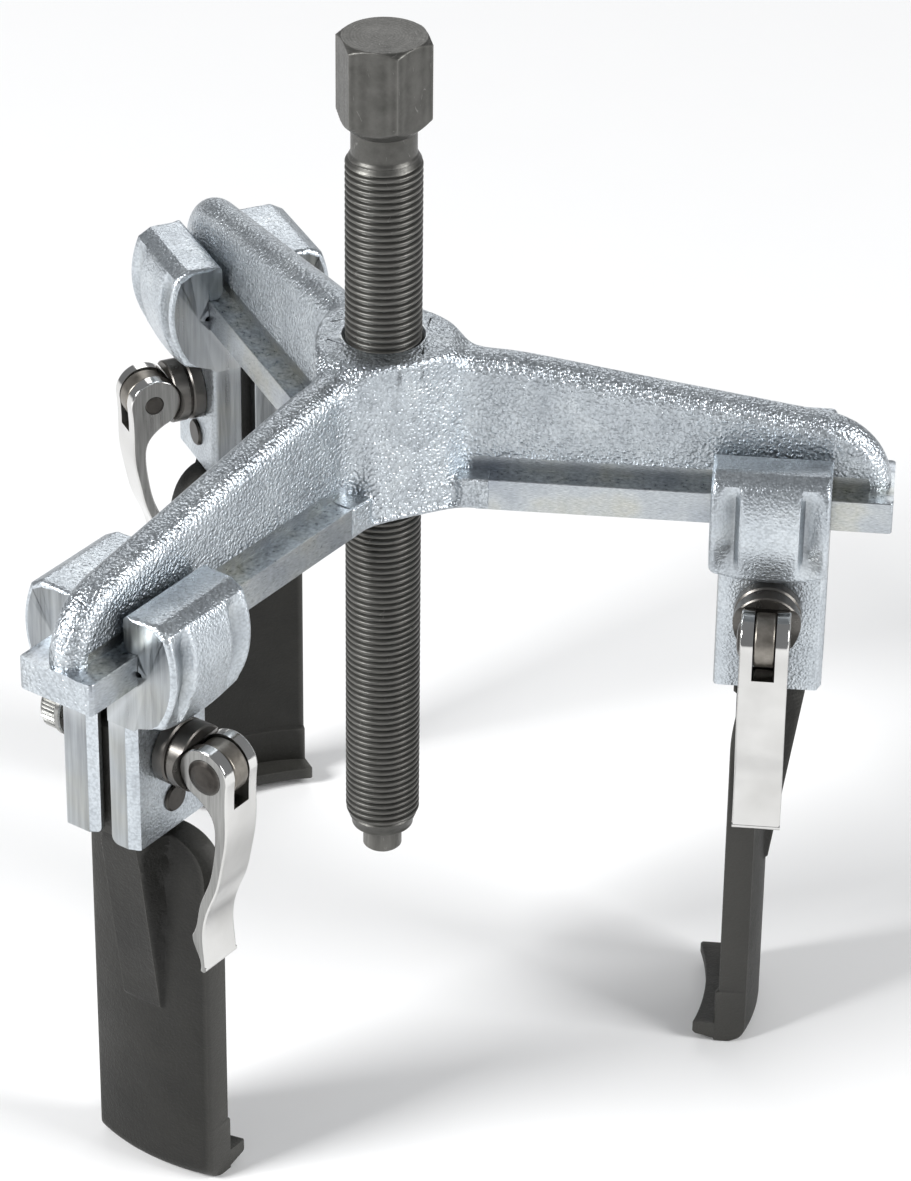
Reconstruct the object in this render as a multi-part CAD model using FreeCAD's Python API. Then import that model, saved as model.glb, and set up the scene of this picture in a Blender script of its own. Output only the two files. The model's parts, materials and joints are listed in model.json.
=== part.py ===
import FreeCAD, Part
import math
import os
from FreeCAD import Vector

# Three-armed gear puller with quick-release sliding legs.
# +Z is up, the origin is the centre of the pressure tip's lower face, and arm a lies along +X.
# All sizes are in millimetres. "Across" is the horizontal direction at right angles to an arm.

# Arms: name, direction in degrees, distance of the slider from the spindle, side of the lever
ARMS = [("a", 0.0, 112.6, -1), ("b", 120.0, 121.4, 1), ("c", 240.0, 110.8, 1)]

# Spindle, M22 x 2
THREAD_R = 11.0
NECK_R = 9.35
TIP_R = 5.8
TIP_TOP = 8.3
TIP_SPIGOT_R = 3.5
TIP_SPIGOT_TOP = 14.0
SPINDLE_FOOT_R = 9.2
THREAD_START = 14.0
THREAD_END = 229.0
NECK_START = 232.0
NECK_END = 239.0
HEX_BOTTOM = 243.5
HEX_TOP = 267.0
HEX_FLATS = 24.0
HEX_TURN = -8.0

# Crossbeam
BEAM_BOTTOM = 126.2
HUB_TOP = 174.5
HUB_R = 19.4
HUB_FOOT_R = 22.5
BORE_R = 11.08
BORE_CHAMFER = 0.9
RAIL_HALF = 12.65
RAIL_TOP = 136.05
RAIL_END = 146.4
RAIL_CORNER = 1.2
WEB_HALF = 5.8
BLEND_START = 8.0
BLEND_REACH = 9.0
BLEND_ACROSS = 17.0
BLEND_R = 11.0
BLEND_TOP = 168.0
CREST_DEPTH = 6.0
WEB_START = 14.0
WEB_TOP = 174.4
WEB_NOSE_START = 127.0
WEB_NOSE_TOP = 156.9
WEB_NOSE_FOOT = 137.5
WEB_END = 145.4
RELIEF_TOP = 140.0
RELIEF_HALF = 5.3
RELIEF_START = 24.0

# Slider: two cheeks hooked over the rail, measured from the bolt axis
FIT = 0.15
HEAD_IN = -17.4
HEAD_OUT = 16.4
PLATE_IN = -14.9
PLATE_INNER = 1.5
PLATE_OUTER = 10.8
NUT_PLATE_INNER = 3.0
NUT_PLATE_OUTER = 14.6
NUT_HEAD_GROWTH = 1.9
STRIP_DEPTH = 1.2
STRIP_WIDTH = 3.3
PLATE_CORNER = 2.4
PLATE_BOTTOM = 71.0
HOOK_INNER = 8.2
POCKET_IN = -10.6
POCKET_OUT = 13.8
POCKET_TOP = 112.0
SCOOP_FROM_END = 5.2
SCOOP_MAJOR = 66.0
SCOOP_TUBE = 6.0
SCOOP_AXIS_ACROSS = -36.5
SCOOP_AXIS_Z = 130.3

# Clamp
BOLT_Z = 97.5
BOLT_R = 4.0
BOLT_END = -31.6
PIN_ACROSS = 27.2
EYE_R = 7.75
EYE_HALF = 3.0
EYE_NECK = 2.8
EYE_NECK_START = 17.2
LEVER_HALF = 7.0
SLOT_HALF = 3.25
SLOT_DEPTH = 9.6
CAM_R = 8.2
CAM_OFFSET = 0.5
CAM_FOOT = 7.3
LEVER_FILLET = 0.6
LEVER_PIN_R = 3.0
DOME_R = 5.35
DOME_SEAT = 0.9
RING_R = 9.8
RING_OUTER = 15.0
SADDLE_OUTER = 20.8
SADDLE_SEAT = 18.3
SADDLE_GROOVE_R = 9.4
NUT_START = 18.4
NUT_SLEEVE_R = 5.6
NUT_COLLAR = 22.8
NUT_COLLAR_R = 8.7
NUT_KNURL = 24.8
NUT_KNURL_R = 8.1
NUT_RIM = 29.7
NUT_END = 31.0
KNURLS = 40
RUN = 0.06

# Leg, measured from the bolt axis
LEG_PIN_Z = 81.0
LEG_PIN_R = 4.25
LEG_HALF = 20.9
LEG_OUTER_R = 63.7
LEG_OUTER_MID = 2.9
LEG_THICK = 7.8
HEEL_Z = -50.0
HEEL_ROUND = 4.5
TOE_TOP = -43.7
TOE_TIP_BOTTOM = -47.5
TOE_REACH = -16.3
TOE_HOLLOW_R = 77.8
TOE_HOLLOW = 3.0
STEP_TOP = -31.5
STEP_PROUD = 1.0
SHOULDER_TOP = 69.5
SHOULDER_END = 56.0
TANG_HALF = 6.7
TANG_IN = -8.9
TANG_OUT = 12.1
TANG_TOP = 108.0
TANG_MERGE_Z = 5.0
TANG_FLARE = 9.0
TANG_CORNER = 3.0
TANG_STRIP_Z = -5.0
TANG_SUNK = -3.0


def block(x0, x1, y0, y1, z0, z1):
    return Part.makeBox(x1 - x0, y1 - y0, z1 - z0, Vector(x0, y0, z0))


def rod(radius, start, end):
    """A cylinder between two points."""
    line = end - start
    return Part.makeCylinder(radius, line.Length, start, line)


def rod_across(radius, y0, y1, z):
    return rod(radius, Vector(0, y0, z), Vector(0, y1, z))


def wire_of(items):
    """A closed wire from points and arcs; an arc item is (middle, end)."""
    edges = []
    here = items[0]
    for item in items[1:]:
        if isinstance(item, tuple):
            middle, end = item
            edges.append(Part.Arc(here, middle, end).toShape())
        else:
            end = item
            edges.append(Part.LineSegment(here, end).toShape())
        here = end
    if here.distanceToPoint(items[0]) > 1e-6:
        edges.append(Part.LineSegment(here, items[0]).toShape())
    return Part.Wire(edges)


def prism(items, direction):
    return Part.Face(wire_of(items)).extrude(direction)


def turned(profile):
    """A solid of revolution about Z from (radius, height) corners, closed along the axis."""
    points = [Vector(0, 0, profile[0][1])]
    points += [Vector(r, 0, z) for r, z in profile]
    points.append(Vector(0, 0, profile[-1][1]))
    face = Part.Face(Part.makePolygon(points + [points[0]]))
    return face.revolve(Vector(0, 0, 0), Vector(0, 0, 1), 360)


def turned_across(profile, z):
    """The same, about a horizontal line across the arm at height z; heights become +Y."""
    solid = turned(profile)
    solid.rotate(Vector(0, 0, 0), Vector(1, 0, 0), -90)
    solid.translate(Vector(0, 0, z))
    return solid


def in_arm(shape, angle, distance=0.0):
    """Carry a shape made on the +X axis out along its arm."""
    placed = shape.copy()
    placed.translate(Vector(distance, 0, 0))
    placed.rotate(Vector(0, 0, 0), Vector(0, 0, 1), angle)
    return placed


def flipped(shape):
    return shape.mirror(Vector(0, 0, 0), Vector(0, 1, 0))


def half_turn(shape):
    turned_shape = shape.copy()
    turned_shape.rotate(Vector(0, 0, 0), Vector(0, 0, 1), 180)
    return turned_shape


def rounded(solid, radius, wanted):
    """Fillet the edges that the test picks."""
    return solid.makeFillet(radius, [edge for edge in solid.Edges if wanted(edge)])


# Spindle and tip

def make_spindle():
    corner_r = HEX_FLATS / 2 / math.cos(math.radians(30))
    body = turned([(SPINDLE_FOOT_R, TIP_TOP + 0.1), (SPINDLE_FOOT_R, TIP_TOP + 1.0),
                   (THREAD_R, THREAD_START), (THREAD_R, THREAD_END), (NECK_R, NECK_START),
                   (NECK_R, NECK_END + 1.0)])
    corners = []
    for step in range(6):
        angle = math.radians(HEX_TURN + 60 * step)
        corners.append(Vector(corner_r * math.cos(angle), corner_r * math.sin(angle), NECK_END))
    hexagon = prism(corners, Vector(0, 0, HEX_TOP - NECK_END))
    crown = turned([(NECK_R, NECK_END), (corner_r + 0.2, HEX_BOTTOM), (corner_r + 0.2, HEX_TOP - 1.3),
                    (corner_r - 2.0, HEX_TOP)])
    body = body.fuse(hexagon.common(crown))
    socket = rod(TIP_SPIGOT_R + RUN, Vector(0, 0, 0), Vector(0, 0, TIP_SPIGOT_TOP + 0.5))
    return body.cut(socket).removeSplitter()


def make_tip():
    return turned([(TIP_R - 0.5, 0), (TIP_R, 0.5), (TIP_R, TIP_TOP), (TIP_SPIGOT_R, TIP_TOP),
                   (TIP_SPIGOT_R, TIP_SPIGOT_TOP)])


# Crossbeam

def web_nose():
    """The web's top line: it falls straight from the hub, then turns down on one tangent arc.

    Returns the line's start and end, the arc's centre and the arc's end."""
    start = Vector(WEB_START, 0, WEB_TOP)
    turn = Vector(WEB_NOSE_START, 0, WEB_NOSE_TOP)
    end = Vector(WEB_END, 0, WEB_NOSE_FOOT)
    along = turn - start
    inward = Vector(along.z, 0, -along.x)
    inward.normalize()
    chord = turn - end
    centre = turn + inward * (-chord.dot(chord) / (2 * inward.dot(chord)))
    return start, turn, centre, end


def make_web():
    """The upright web of one arm: a slab with a half-round crest carried along its top line."""
    start, turn, centre, end = web_nose()
    radius = (turn - centre).Length - WEB_HALF
    inward = (centre - turn).normalize()
    axis_start = start + inward * WEB_HALF
    axis_turn = turn + inward * WEB_HALF
    axis_end = centre + (end - centre).normalize() * radius
    axis_middle = centre + ((axis_turn + axis_end) * 0.5 - centre).normalize() * radius
    path = Part.Wire([Part.LineSegment(axis_start, axis_turn).toShape(),
                      Part.Arc(axis_turn, axis_middle, axis_end).toShape()])
    side = Vector(0, WEB_HALF, 0)
    low = inward * CREST_DEPTH
    crest_section = wire_of([axis_start - side + low, axis_start - side,
                             (axis_start - inward * WEB_HALF, axis_start + side), axis_start + side + low])
    crest = path.makePipeShell([crest_section], True, False)
    slab = prism([Vector(WEB_START, -WEB_HALF, BEAM_BOTTOM), axis_start - side, axis_turn - side,
                  (axis_middle - side, axis_end - side), end - side, Vector(WEB_END, -WEB_HALF, BEAM_BOTTOM)],
                 side * 2)
    return crest.fuse(slab)


def make_corner_blend():
    """The forged web of metal that fills the corner between hub and arm, on the +Y side."""
    end = HUB_R + BLEND_REACH
    height = Vector(0, 0, BLEND_TOP - BEAM_BOTTOM)
    centre = Vector(end, WEB_HALF + BLEND_R, BEAM_BOTTOM)
    outline = [Vector(BLEND_START, 0, BEAM_BOTTOM), Vector(end, 0, BEAM_BOTTOM),
               Vector(end, WEB_HALF, BEAM_BOTTOM), Vector(BLEND_REACH, BLEND_ACROSS, BEAM_BOTTOM)]
    return prism(outline, height).cut(rod(BLEND_R, centre, centre + height * 2))


def make_rail():
    rail = block(0, RAIL_END, -RAIL_HALF, RAIL_HALF, BEAM_BOTTOM, RAIL_TOP)

    def end_corner(edge):
        box = edge.BoundBox
        return box.ZLength > 5 and box.XMin > RAIL_END - 0.1

    return rounded(rail, RAIL_CORNER, end_corner)


def make_crossbeam():
    beam = turned([(HUB_FOOT_R - 1.0, BEAM_BOTTOM), (HUB_FOOT_R, BEAM_BOTTOM + 1.5), (HUB_R + 0.6, 150.0),
                   (HUB_R, HUB_TOP - 1.0), (HUB_R - 0.8, HUB_TOP)])
    arm = make_web().fuse([make_rail(), make_corner_blend(), flipped(make_corner_blend())])
    for side in (-1, 1):
        relief = block(RELIEF_START, RAIL_END + 1, RELIEF_HALF, RAIL_HALF + 12, RAIL_TOP, RELIEF_TOP)
        relief = relief if side > 0 else flipped(relief)
        arm = arm.cut(relief)
    for name, angle, distance, side in ARMS:
        beam = beam.fuse(in_arm(arm, angle))
    beam = beam.removeSplitter()
    beam = beam.cut(rod(BORE_R, Vector(0, 0, BEAM_BOTTOM - 1), Vector(0, 0, HUB_TOP + 1)))
    for height, grow in ((HUB_TOP, 1), (BEAM_BOTTOM, -1)):
        cone = Part.makeCone(BORE_R, BORE_R + BORE_CHAMFER + 0.5, BORE_CHAMFER + 0.5,
                             Vector(0, 0, height - grow * BORE_CHAMFER), Vector(0, 0, grow))
        beam = beam.cut(cone)
    return beam


# Cheeks: made for the +Y side of the arm

def plate_outline(inner, outer, strip_inside):
    """The plate seen from above, with a forged strip across one corner of its outward end."""
    corners = [Vector(PLATE_IN, inner, PLATE_BOTTOM)]
    if strip_inside:
        corners += [Vector(HEAD_OUT - STRIP_DEPTH, inner, PLATE_BOTTOM),
                    Vector(HEAD_OUT, inner + STRIP_WIDTH, PLATE_BOTTOM),
                    Vector(HEAD_OUT, outer, PLATE_BOTTOM)]
    else:
        corners += [Vector(HEAD_OUT, inner, PLATE_BOTTOM),
                    Vector(HEAD_OUT, outer - STRIP_WIDTH, PLATE_BOTTOM),
                    Vector(HEAD_OUT - STRIP_DEPTH, outer, PLATE_BOTTOM)]
    corners.append(Vector(PLATE_IN + 1.0, outer, PLATE_BOTTOM))
    corners.append(Vector(PLATE_IN, outer - 1.6, PLATE_BOTTOM))
    return corners


def make_cheek(inner, outer, growth, strip_inside):
    """A head hooked over the rail, with a plate below it that reaches from inner to outer.

    growth moves the head's outer side away from the arm."""
    y_rail = RAIL_HALF + FIT
    z_hook = RAIL_TOP + FIT
    z_under = BEAM_BOTTOM - FIT
    bottom = POCKET_TOP - 3.0

    def at(y, z):
        return Vector(HEAD_IN, y, z)

    def out(y, z):
        return Vector(HEAD_IN, y + growth, z)

    outline = [at(HOOK_INNER, z_hook + 2.2), at(HOOK_INNER, 145.2),
               (at(HOOK_INNER + 0.5, 146.5), at(HOOK_INNER + 1.8, 147.0)), out(19.2, 147.2),
               (out(21.6, 146.6), out(23.0, 144.6)), (out(25.6, 131.5), out(21.3, 116.2)),
               (out(20.4, 114.6), out(18.8, 113.9)), at(outer + 1.8, 111.8),
               (at(outer + 0.5, 110.9), at(outer, bottom)), at(inner, bottom), at(inner, z_under),
               at(y_rail, z_under), at(y_rail, 128.3), (at(y_rail + 1.3, 129.6), at(y_rail, 130.9)),
               at(y_rail, z_hook), at(HOOK_INNER + 2.2, z_hook),
               (at(HOOK_INNER + 0.65, z_hook + 0.65), at(HOOK_INNER, z_hook + 2.2))]
    head = prism(outline, Vector(HEAD_OUT - HEAD_IN, 0, 0))
    for place in (HEAD_IN + SCOOP_FROM_END, HEAD_OUT - SCOOP_FROM_END):
        centre = Vector(place, SCOOP_AXIS_ACROSS + growth, SCOOP_AXIS_Z)
        head = head.cut(Part.makeTorus(SCOOP_MAJOR, SCOOP_TUBE, centre, Vector(1, 0, 0)))
    plate = prism(plate_outline(inner, outer, strip_inside), Vector(0, 0, POCKET_TOP - PLATE_BOTTOM))

    def lower_inner_edge(edge):
        box = edge.BoundBox
        return box.ZMax < PLATE_BOTTOM + 0.01 and box.YMax < inner + 0.01

    plate = rounded(plate, PLATE_CORNER, lower_inner_edge)
    cheek = head.fuse(plate).removeSplitter()
    cheek = cheek.cut(block(POCKET_IN, POCKET_OUT, 0, TANG_HALF + FIT, PLATE_BOTTOM - 1, POCKET_TOP))
    cheek = cheek.cut(rod_across(BOLT_R + 0.1, 0, outer + 5, BOLT_Z))
    return cheek.cut(rod_across(LEG_PIN_R + RUN, 0, outer + 5, LEG_PIN_Z))


# Clamp: made with the lever on the +Y side

def make_eye_bolt():
    shank = turned_across([(BOLT_R - 0.6, BOLT_END), (BOLT_R, BOLT_END + 0.6), (BOLT_R, EYE_NECK_START)],
                          BOLT_Z)
    neck = block(-EYE_HALF, EYE_HALF, EYE_NECK_START - 0.5, PIN_ACROSS, BOLT_Z - EYE_NECK, BOLT_Z + EYE_NECK)
    eye = rod(EYE_R, Vector(-EYE_HALF, PIN_ACROSS, BOLT_Z), Vector(EYE_HALF, PIN_ACROSS, BOLT_Z))
    eye = rounded(eye, 0.8, lambda edge: edge.Length > 20)
    hole = rod(LEVER_PIN_R + 0.03, Vector(-5, PIN_ACROSS, BOLT_Z), Vector(5, PIN_ACROSS, BOLT_Z))
    return shank.fuse([neck, eye]).removeSplitter().cut(hole)


def make_lever_pin():
    """Rivet along the arm: plain end towards the hub, domed head outwards."""
    seat = LEVER_HALF - DOME_SEAT
    profile = [(LEVER_PIN_R - 0.4, -LEVER_HALF - 0.2), (LEVER_PIN_R, -LEVER_HALF + 0.2), (LEVER_PIN_R, seat),
               (DOME_R, seat), (DOME_R, LEVER_HALF + 0.1), (DOME_R - 1.2, LEVER_HALF + 0.75),
               (DOME_R - 3.2, LEVER_HALF + 1.1)]
    pin = turned(profile)
    pin.rotate(Vector(0, 0, 0), Vector(0, 1, 0), 90)
    pin.translate(Vector(0, PIN_ACROSS, BOLT_Z))
    return pin


def make_cam_lever():
    """Side view: cam circle, long S-shaped handle, a bump and a flared lip at the tip."""
    def at(y, z):
        return Vector(-LEVER_HALF, PIN_ACROSS + y, BOLT_Z + z)

    def curve(points):
        spline = Part.BSplineCurve()
        spline.interpolate([at(y, z) for y, z in points])
        return spline.toShape()

    top = CAM_R - CAM_OFFSET
    foot = -CAM_OFFSET - math.sqrt(CAM_R ** 2 - CAM_FOOT ** 2)
    outside = [(top, 0), (7.2, -9), (7.0, -18.5), (5.3, -28.5), (3.3, -37), (0.3, -44.5), (-1.2, -50),
               (-1.6, -55.5), (-1.2, -60.5), (-0.9, -64.6)]
    inside_tip = [(-2.9, -65.1), (-3.5, -61.4), (-5.2, -57.6), (-5.7, -54.6)]
    inside = [(-5.7, -54.6), (-4.4, -51.6), (-2.9, -44), (0.6, -34.7), (2.3, -26.8), (3.1, -18.2),
              (2.3, -13.2), (-0.6, -9.6), (foot, -CAM_FOOT)]
    lowest = at(-1.8, -66.1)
    tip = Part.Arc(at(*outside[-1]), lowest, at(*inside_tip[0])).toShape()
    cam = Part.Arc(at(*inside[-1]), at(-CAM_OFFSET, CAM_R), at(top, 0)).toShape()
    wire = Part.Wire([curve(outside), tip, curve(inside_tip), curve(inside), cam])
    lever = Part.Face(wire).extrude(Vector(2 * LEVER_HALF, 0, 0))

    def long_side_edge(edge):
        return edge.BoundBox.XLength < 0.01 and edge.Length > CAM_R

    lever = rounded(lever, LEVER_FILLET, long_side_edge)
    slot_floor = BOLT_Z - SLOT_DEPTH
    lever = lever.cut(block(-SLOT_HALF, SLOT_HALF, 0, 60, slot_floor, BOLT_Z + 20))
    lever = lever.cut(rod(LEVER_PIN_R + RUN, Vector(-9, PIN_ACROSS, BOLT_Z), Vector(9, PIN_ACROSS, BOLT_Z)))
    seat = rod(DOME_R + 0.1, Vector(LEVER_HALF - DOME_SEAT - 0.05, PIN_ACROSS, BOLT_Z),
               Vector(LEVER_HALF + 1, PIN_ACROSS, BOLT_Z))
    return lever.cut(seat)


def make_ring(inner_face, outer_face):
    ring = turned_across([(RING_R - 0.4, inner_face), (RING_R, inner_face + 0.4), (RING_R, outer_face - 0.5),
                          (RING_R - 0.5, outer_face)], BOLT_Z)
    return ring.cut(rod_across(BOLT_R + 0.3, inner_face - 1, outer_face + 1, BOLT_Z))


def make_saddle():
    cup = turned_across([(RING_R - 1.0, RING_OUTER), (RING_R - 1.0, RING_OUTER + 0.8),
                         (RING_R, RING_OUTER + 1.2), (RING_R, SADDLE_OUTER - 0.4),
                         (RING_R - 0.4, SADDLE_OUTER)], BOLT_Z)
    axis_y = SADDLE_SEAT + SADDLE_GROOVE_R
    cup = cup.cut(rod(SADDLE_GROOVE_R, Vector(-12, axis_y, BOLT_Z), Vector(12, axis_y, BOLT_Z)))
    return cup.cut(rod_across(BOLT_R + 0.3, RING_OUTER - 1, SADDLE_OUTER + 1, BOLT_Z))


def make_knurled_nut():
    """Thumb nut on the -Y side: sleeve, collar, straight-knurled band and rim."""
    nut = turned_across([(NUT_SLEEVE_R, NUT_START), (NUT_SLEEVE_R, NUT_COLLAR),
                         (NUT_COLLAR_R - 0.4, NUT_COLLAR),
                         (NUT_COLLAR_R, NUT_COLLAR + 0.4), (NUT_COLLAR_R, NUT_KNURL - 0.3),
                         (NUT_COLLAR_R - 0.3, NUT_KNURL), (NUT_KNURL_R, NUT_KNURL), (NUT_KNURL_R, NUT_RIM),
                         (NUT_KNURL_R - 1.0, NUT_RIM), (NUT_KNURL_R - 1.0, NUT_END - 0.4),
                         (NUT_KNURL_R - 1.4, NUT_END)], BOLT_Z)
    tools = []
    for step in range(KNURLS):
        groove = prism([Vector(-0.55, NUT_KNURL, NUT_KNURL_R + 0.1),
                        Vector(0.55, NUT_KNURL, NUT_KNURL_R + 0.1),
                        Vector(0, NUT_KNURL, NUT_KNURL_R - 0.5)], Vector(0, NUT_RIM - NUT_KNURL + 1, 0))
        groove.rotate(Vector(0, 0, 0), Vector(0, 1, 0), 360.0 * step / KNURLS)
        groove.translate(Vector(0, 0, BOLT_Z))
        tools.append(groove)
    nut = nut.cut(Part.makeCompound(tools))
    nut = nut.cut(rod_across(BOLT_R + RUN, NUT_START - 1, NUT_END + 1, BOLT_Z))
    return flipped(nut)


# Leg

def arc_point(radius, across):
    """A point of the blade's arc, whose centre lies on the spindle's side of the leg."""
    return Vector(LEG_OUTER_MID - LEG_OUTER_R + math.sqrt(radius ** 2 - across ** 2), across, HEEL_Z)


def make_blade():
    """The wide arched blade: a slice of pipe wall, rounded at the heel and at the shoulders."""
    inner_r = LEG_OUTER_R - LEG_THICK
    slice_of_wall = [arc_point(LEG_OUTER_R, -LEG_HALF),
                     (arc_point(LEG_OUTER_R, 0), arc_point(LEG_OUTER_R, LEG_HALF)),
                     arc_point(inner_r, LEG_HALF), (arc_point(inner_r, 0), arc_point(inner_r, -LEG_HALF))]
    blade = prism(slice_of_wall, Vector(0, 0, SHOULDER_TOP - HEEL_Z))

    def heel_edge(edge):
        box = edge.BoundBox
        return box.ZMax < HEEL_Z + 0.01 and box.YLength > LEG_HALF and box.XMax > LEG_OUTER_MID - 0.1

    blade = rounded(blade, HEEL_ROUND, heel_edge)
    outline = [Vector(-30, -30, HEEL_Z - 1), Vector(-30, -30, SHOULDER_END - 5),
               Vector(-30, -LEG_HALF - 1, SHOULDER_END - 5), Vector(-30, -LEG_HALF, SHOULDER_END),
               (Vector(-30, -17.3, 65.4), Vector(-30, -8.0, SHOULDER_TOP)),
               Vector(-30, 8.0, SHOULDER_TOP), (Vector(-30, 17.3, 65.4), Vector(-30, LEG_HALF, SHOULDER_END)),
               Vector(-30, LEG_HALF + 1, SHOULDER_END - 5), Vector(-30, 30, SHOULDER_END - 5),
               Vector(-30, 30, HEEL_Z - 1)]
    return blade.common(prism(outline, Vector(60, 0, 0)))


def make_toe():
    inner_mid = LEG_OUTER_MID - LEG_THICK
    side = [Vector(inner_mid + 2, -LEG_HALF, HEEL_Z), Vector(inner_mid + 2, -LEG_HALF, STEP_TOP),
            Vector(inner_mid - STEP_PROUD, -LEG_HALF, STEP_TOP - 0.8),
            Vector(inner_mid - STEP_PROUD, -LEG_HALF, TOE_TOP),
            Vector(TOE_REACH, -LEG_HALF, TOE_TOP), Vector(TOE_REACH, -LEG_HALF, TOE_TIP_BOTTOM),
            Vector(inner_mid - 2, -LEG_HALF, HEEL_Z)]
    toe = prism(side, Vector(0, 2 * LEG_HALF, 0))
    tip_axis = TOE_REACH + TOE_HOLLOW - TOE_HOLLOW_R
    toe = toe.cut(rod(TOE_HOLLOW_R, Vector(tip_axis, 0, HEEL_Z - 1), Vector(tip_axis, 0, TOE_TOP + 1)))
    step_axis = LEG_OUTER_MID - LEG_OUTER_R
    step_r = LEG_OUTER_R - LEG_THICK - STEP_PROUD
    above_toe = Vector(step_axis, 0, TOE_TOP)
    return toe.cut(Part.makeCylinder(step_r, STEP_TOP - TOE_TOP + 1, above_toe))


def make_tang():
    """A straight tang above the shoulders, and below them a flared strip that runs out into the blade."""
    across = Vector(0, 2 * TANG_HALF, 0)

    def straight(x, z):
        return Vector(x, -TANG_HALF, z)

    def strip(x, y):
        return Vector(x, y, TANG_STRIP_Z)

    upper = prism([straight(TANG_IN, SHOULDER_TOP), straight(TANG_IN, TANG_TOP - TANG_CORNER),
                   straight(TANG_IN + TANG_CORNER, TANG_TOP), straight(TANG_OUT - TANG_CORNER, TANG_TOP),
                   straight(TANG_OUT, TANG_TOP - TANG_CORNER), straight(TANG_OUT, SHOULDER_TOP)], across)
    sunk = LEG_OUTER_MID - 1.0
    flared = prism([strip(TANG_SUNK, -TANG_FLARE), strip(sunk, -TANG_FLARE), strip(TANG_OUT, -TANG_HALF),
                    strip(TANG_OUT, TANG_HALF), strip(sunk, TANG_FLARE), strip(TANG_SUNK, TANG_FLARE)],
                   Vector(0, 0, SHOULDER_TOP - TANG_STRIP_Z))
    slope = (TANG_OUT - LEG_OUTER_MID) / (SHOULDER_TOP - TANG_MERGE_Z)
    foot = LEG_OUTER_MID - slope * (TANG_MERGE_Z - TANG_STRIP_Z)
    side = [Vector(TANG_SUNK, -LEG_HALF, TANG_STRIP_Z), Vector(foot, -LEG_HALF, TANG_STRIP_Z),
            Vector(TANG_OUT, -LEG_HALF, SHOULDER_TOP), Vector(TANG_SUNK, -LEG_HALF, SHOULDER_TOP)]
    flared = flared.common(prism(side, Vector(0, 2 * LEG_HALF, 0)))
    return flared.fuse(upper)


def make_leg():
    leg = make_blade().fuse([make_toe(), make_tang()]).removeSplitter()
    leg = leg.cut(rod_across(LEG_PIN_R + RUN, -30, 30, LEG_PIN_Z))
    return leg.cut(rod_across(BOLT_R + 1.0, -30, 30, BOLT_Z))


def make_leg_pin():
    start = -NUT_PLATE_OUTER - 1.0
    end = PLATE_OUTER + 1.0
    return turned_across([(LEG_PIN_R - 0.5, start), (LEG_PIN_R, start + 0.5), (LEG_PIN_R, end - 0.5),
                          (LEG_PIN_R - 0.5, end)], LEG_PIN_Z)


def build():
    nodes = {"crossbeam": make_crossbeam(), "spindle": make_spindle(), "thrust_tip": make_tip()}
    clamp = {
        "lever_cheek": make_cheek(PLATE_INNER, PLATE_OUTER, 0.0, False),
        "nut_cheek": flipped(make_cheek(NUT_PLATE_INNER, NUT_PLATE_OUTER, NUT_HEAD_GROWTH, True)),
        "pressure_ring": make_ring(PLATE_OUTER, RING_OUTER),
        "saddle_washer": make_saddle(),
        "eye_bolt": make_eye_bolt(),
        "lever_pin": make_lever_pin(),
        "cam_lever": make_cam_lever(),
        "nut_washer": flipped(make_ring(NUT_PLATE_OUTER, NUT_START - 0.2)),
        "knurled_nut": make_knurled_nut(),
        "leg_pin": make_leg_pin(),
    }
    leg = make_leg()
    for name, angle, distance, side in ARMS:
        for piece, shape in clamp.items():
            if side < 0:
                shape = flipped(shape) if piece.endswith("cheek") else half_turn(shape)
            nodes[piece + "_" + name] = in_arm(shape, angle, distance)
        nodes["leg_" + name] = in_arm(leg, angle, distance)
    return nodes


os.makedirs("parts", exist_ok=True)
for node, shape in build().items():
    if shape.ShapeType == "Compound" and len(shape.Solids) == 1:
        shape = shape.Solids[0]
    print(node, shape.ShapeType, len(shape.Solids), shape.isValid(), round(shape.Volume))
    shape.exportStep("parts/" + node + ".step")
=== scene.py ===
import json
import math

import bmesh
import bpy
import numpy as np
from bpy.props import FloatProperty, FloatVectorProperty, PointerProperty
from mathutils import Matrix, Vector


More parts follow.
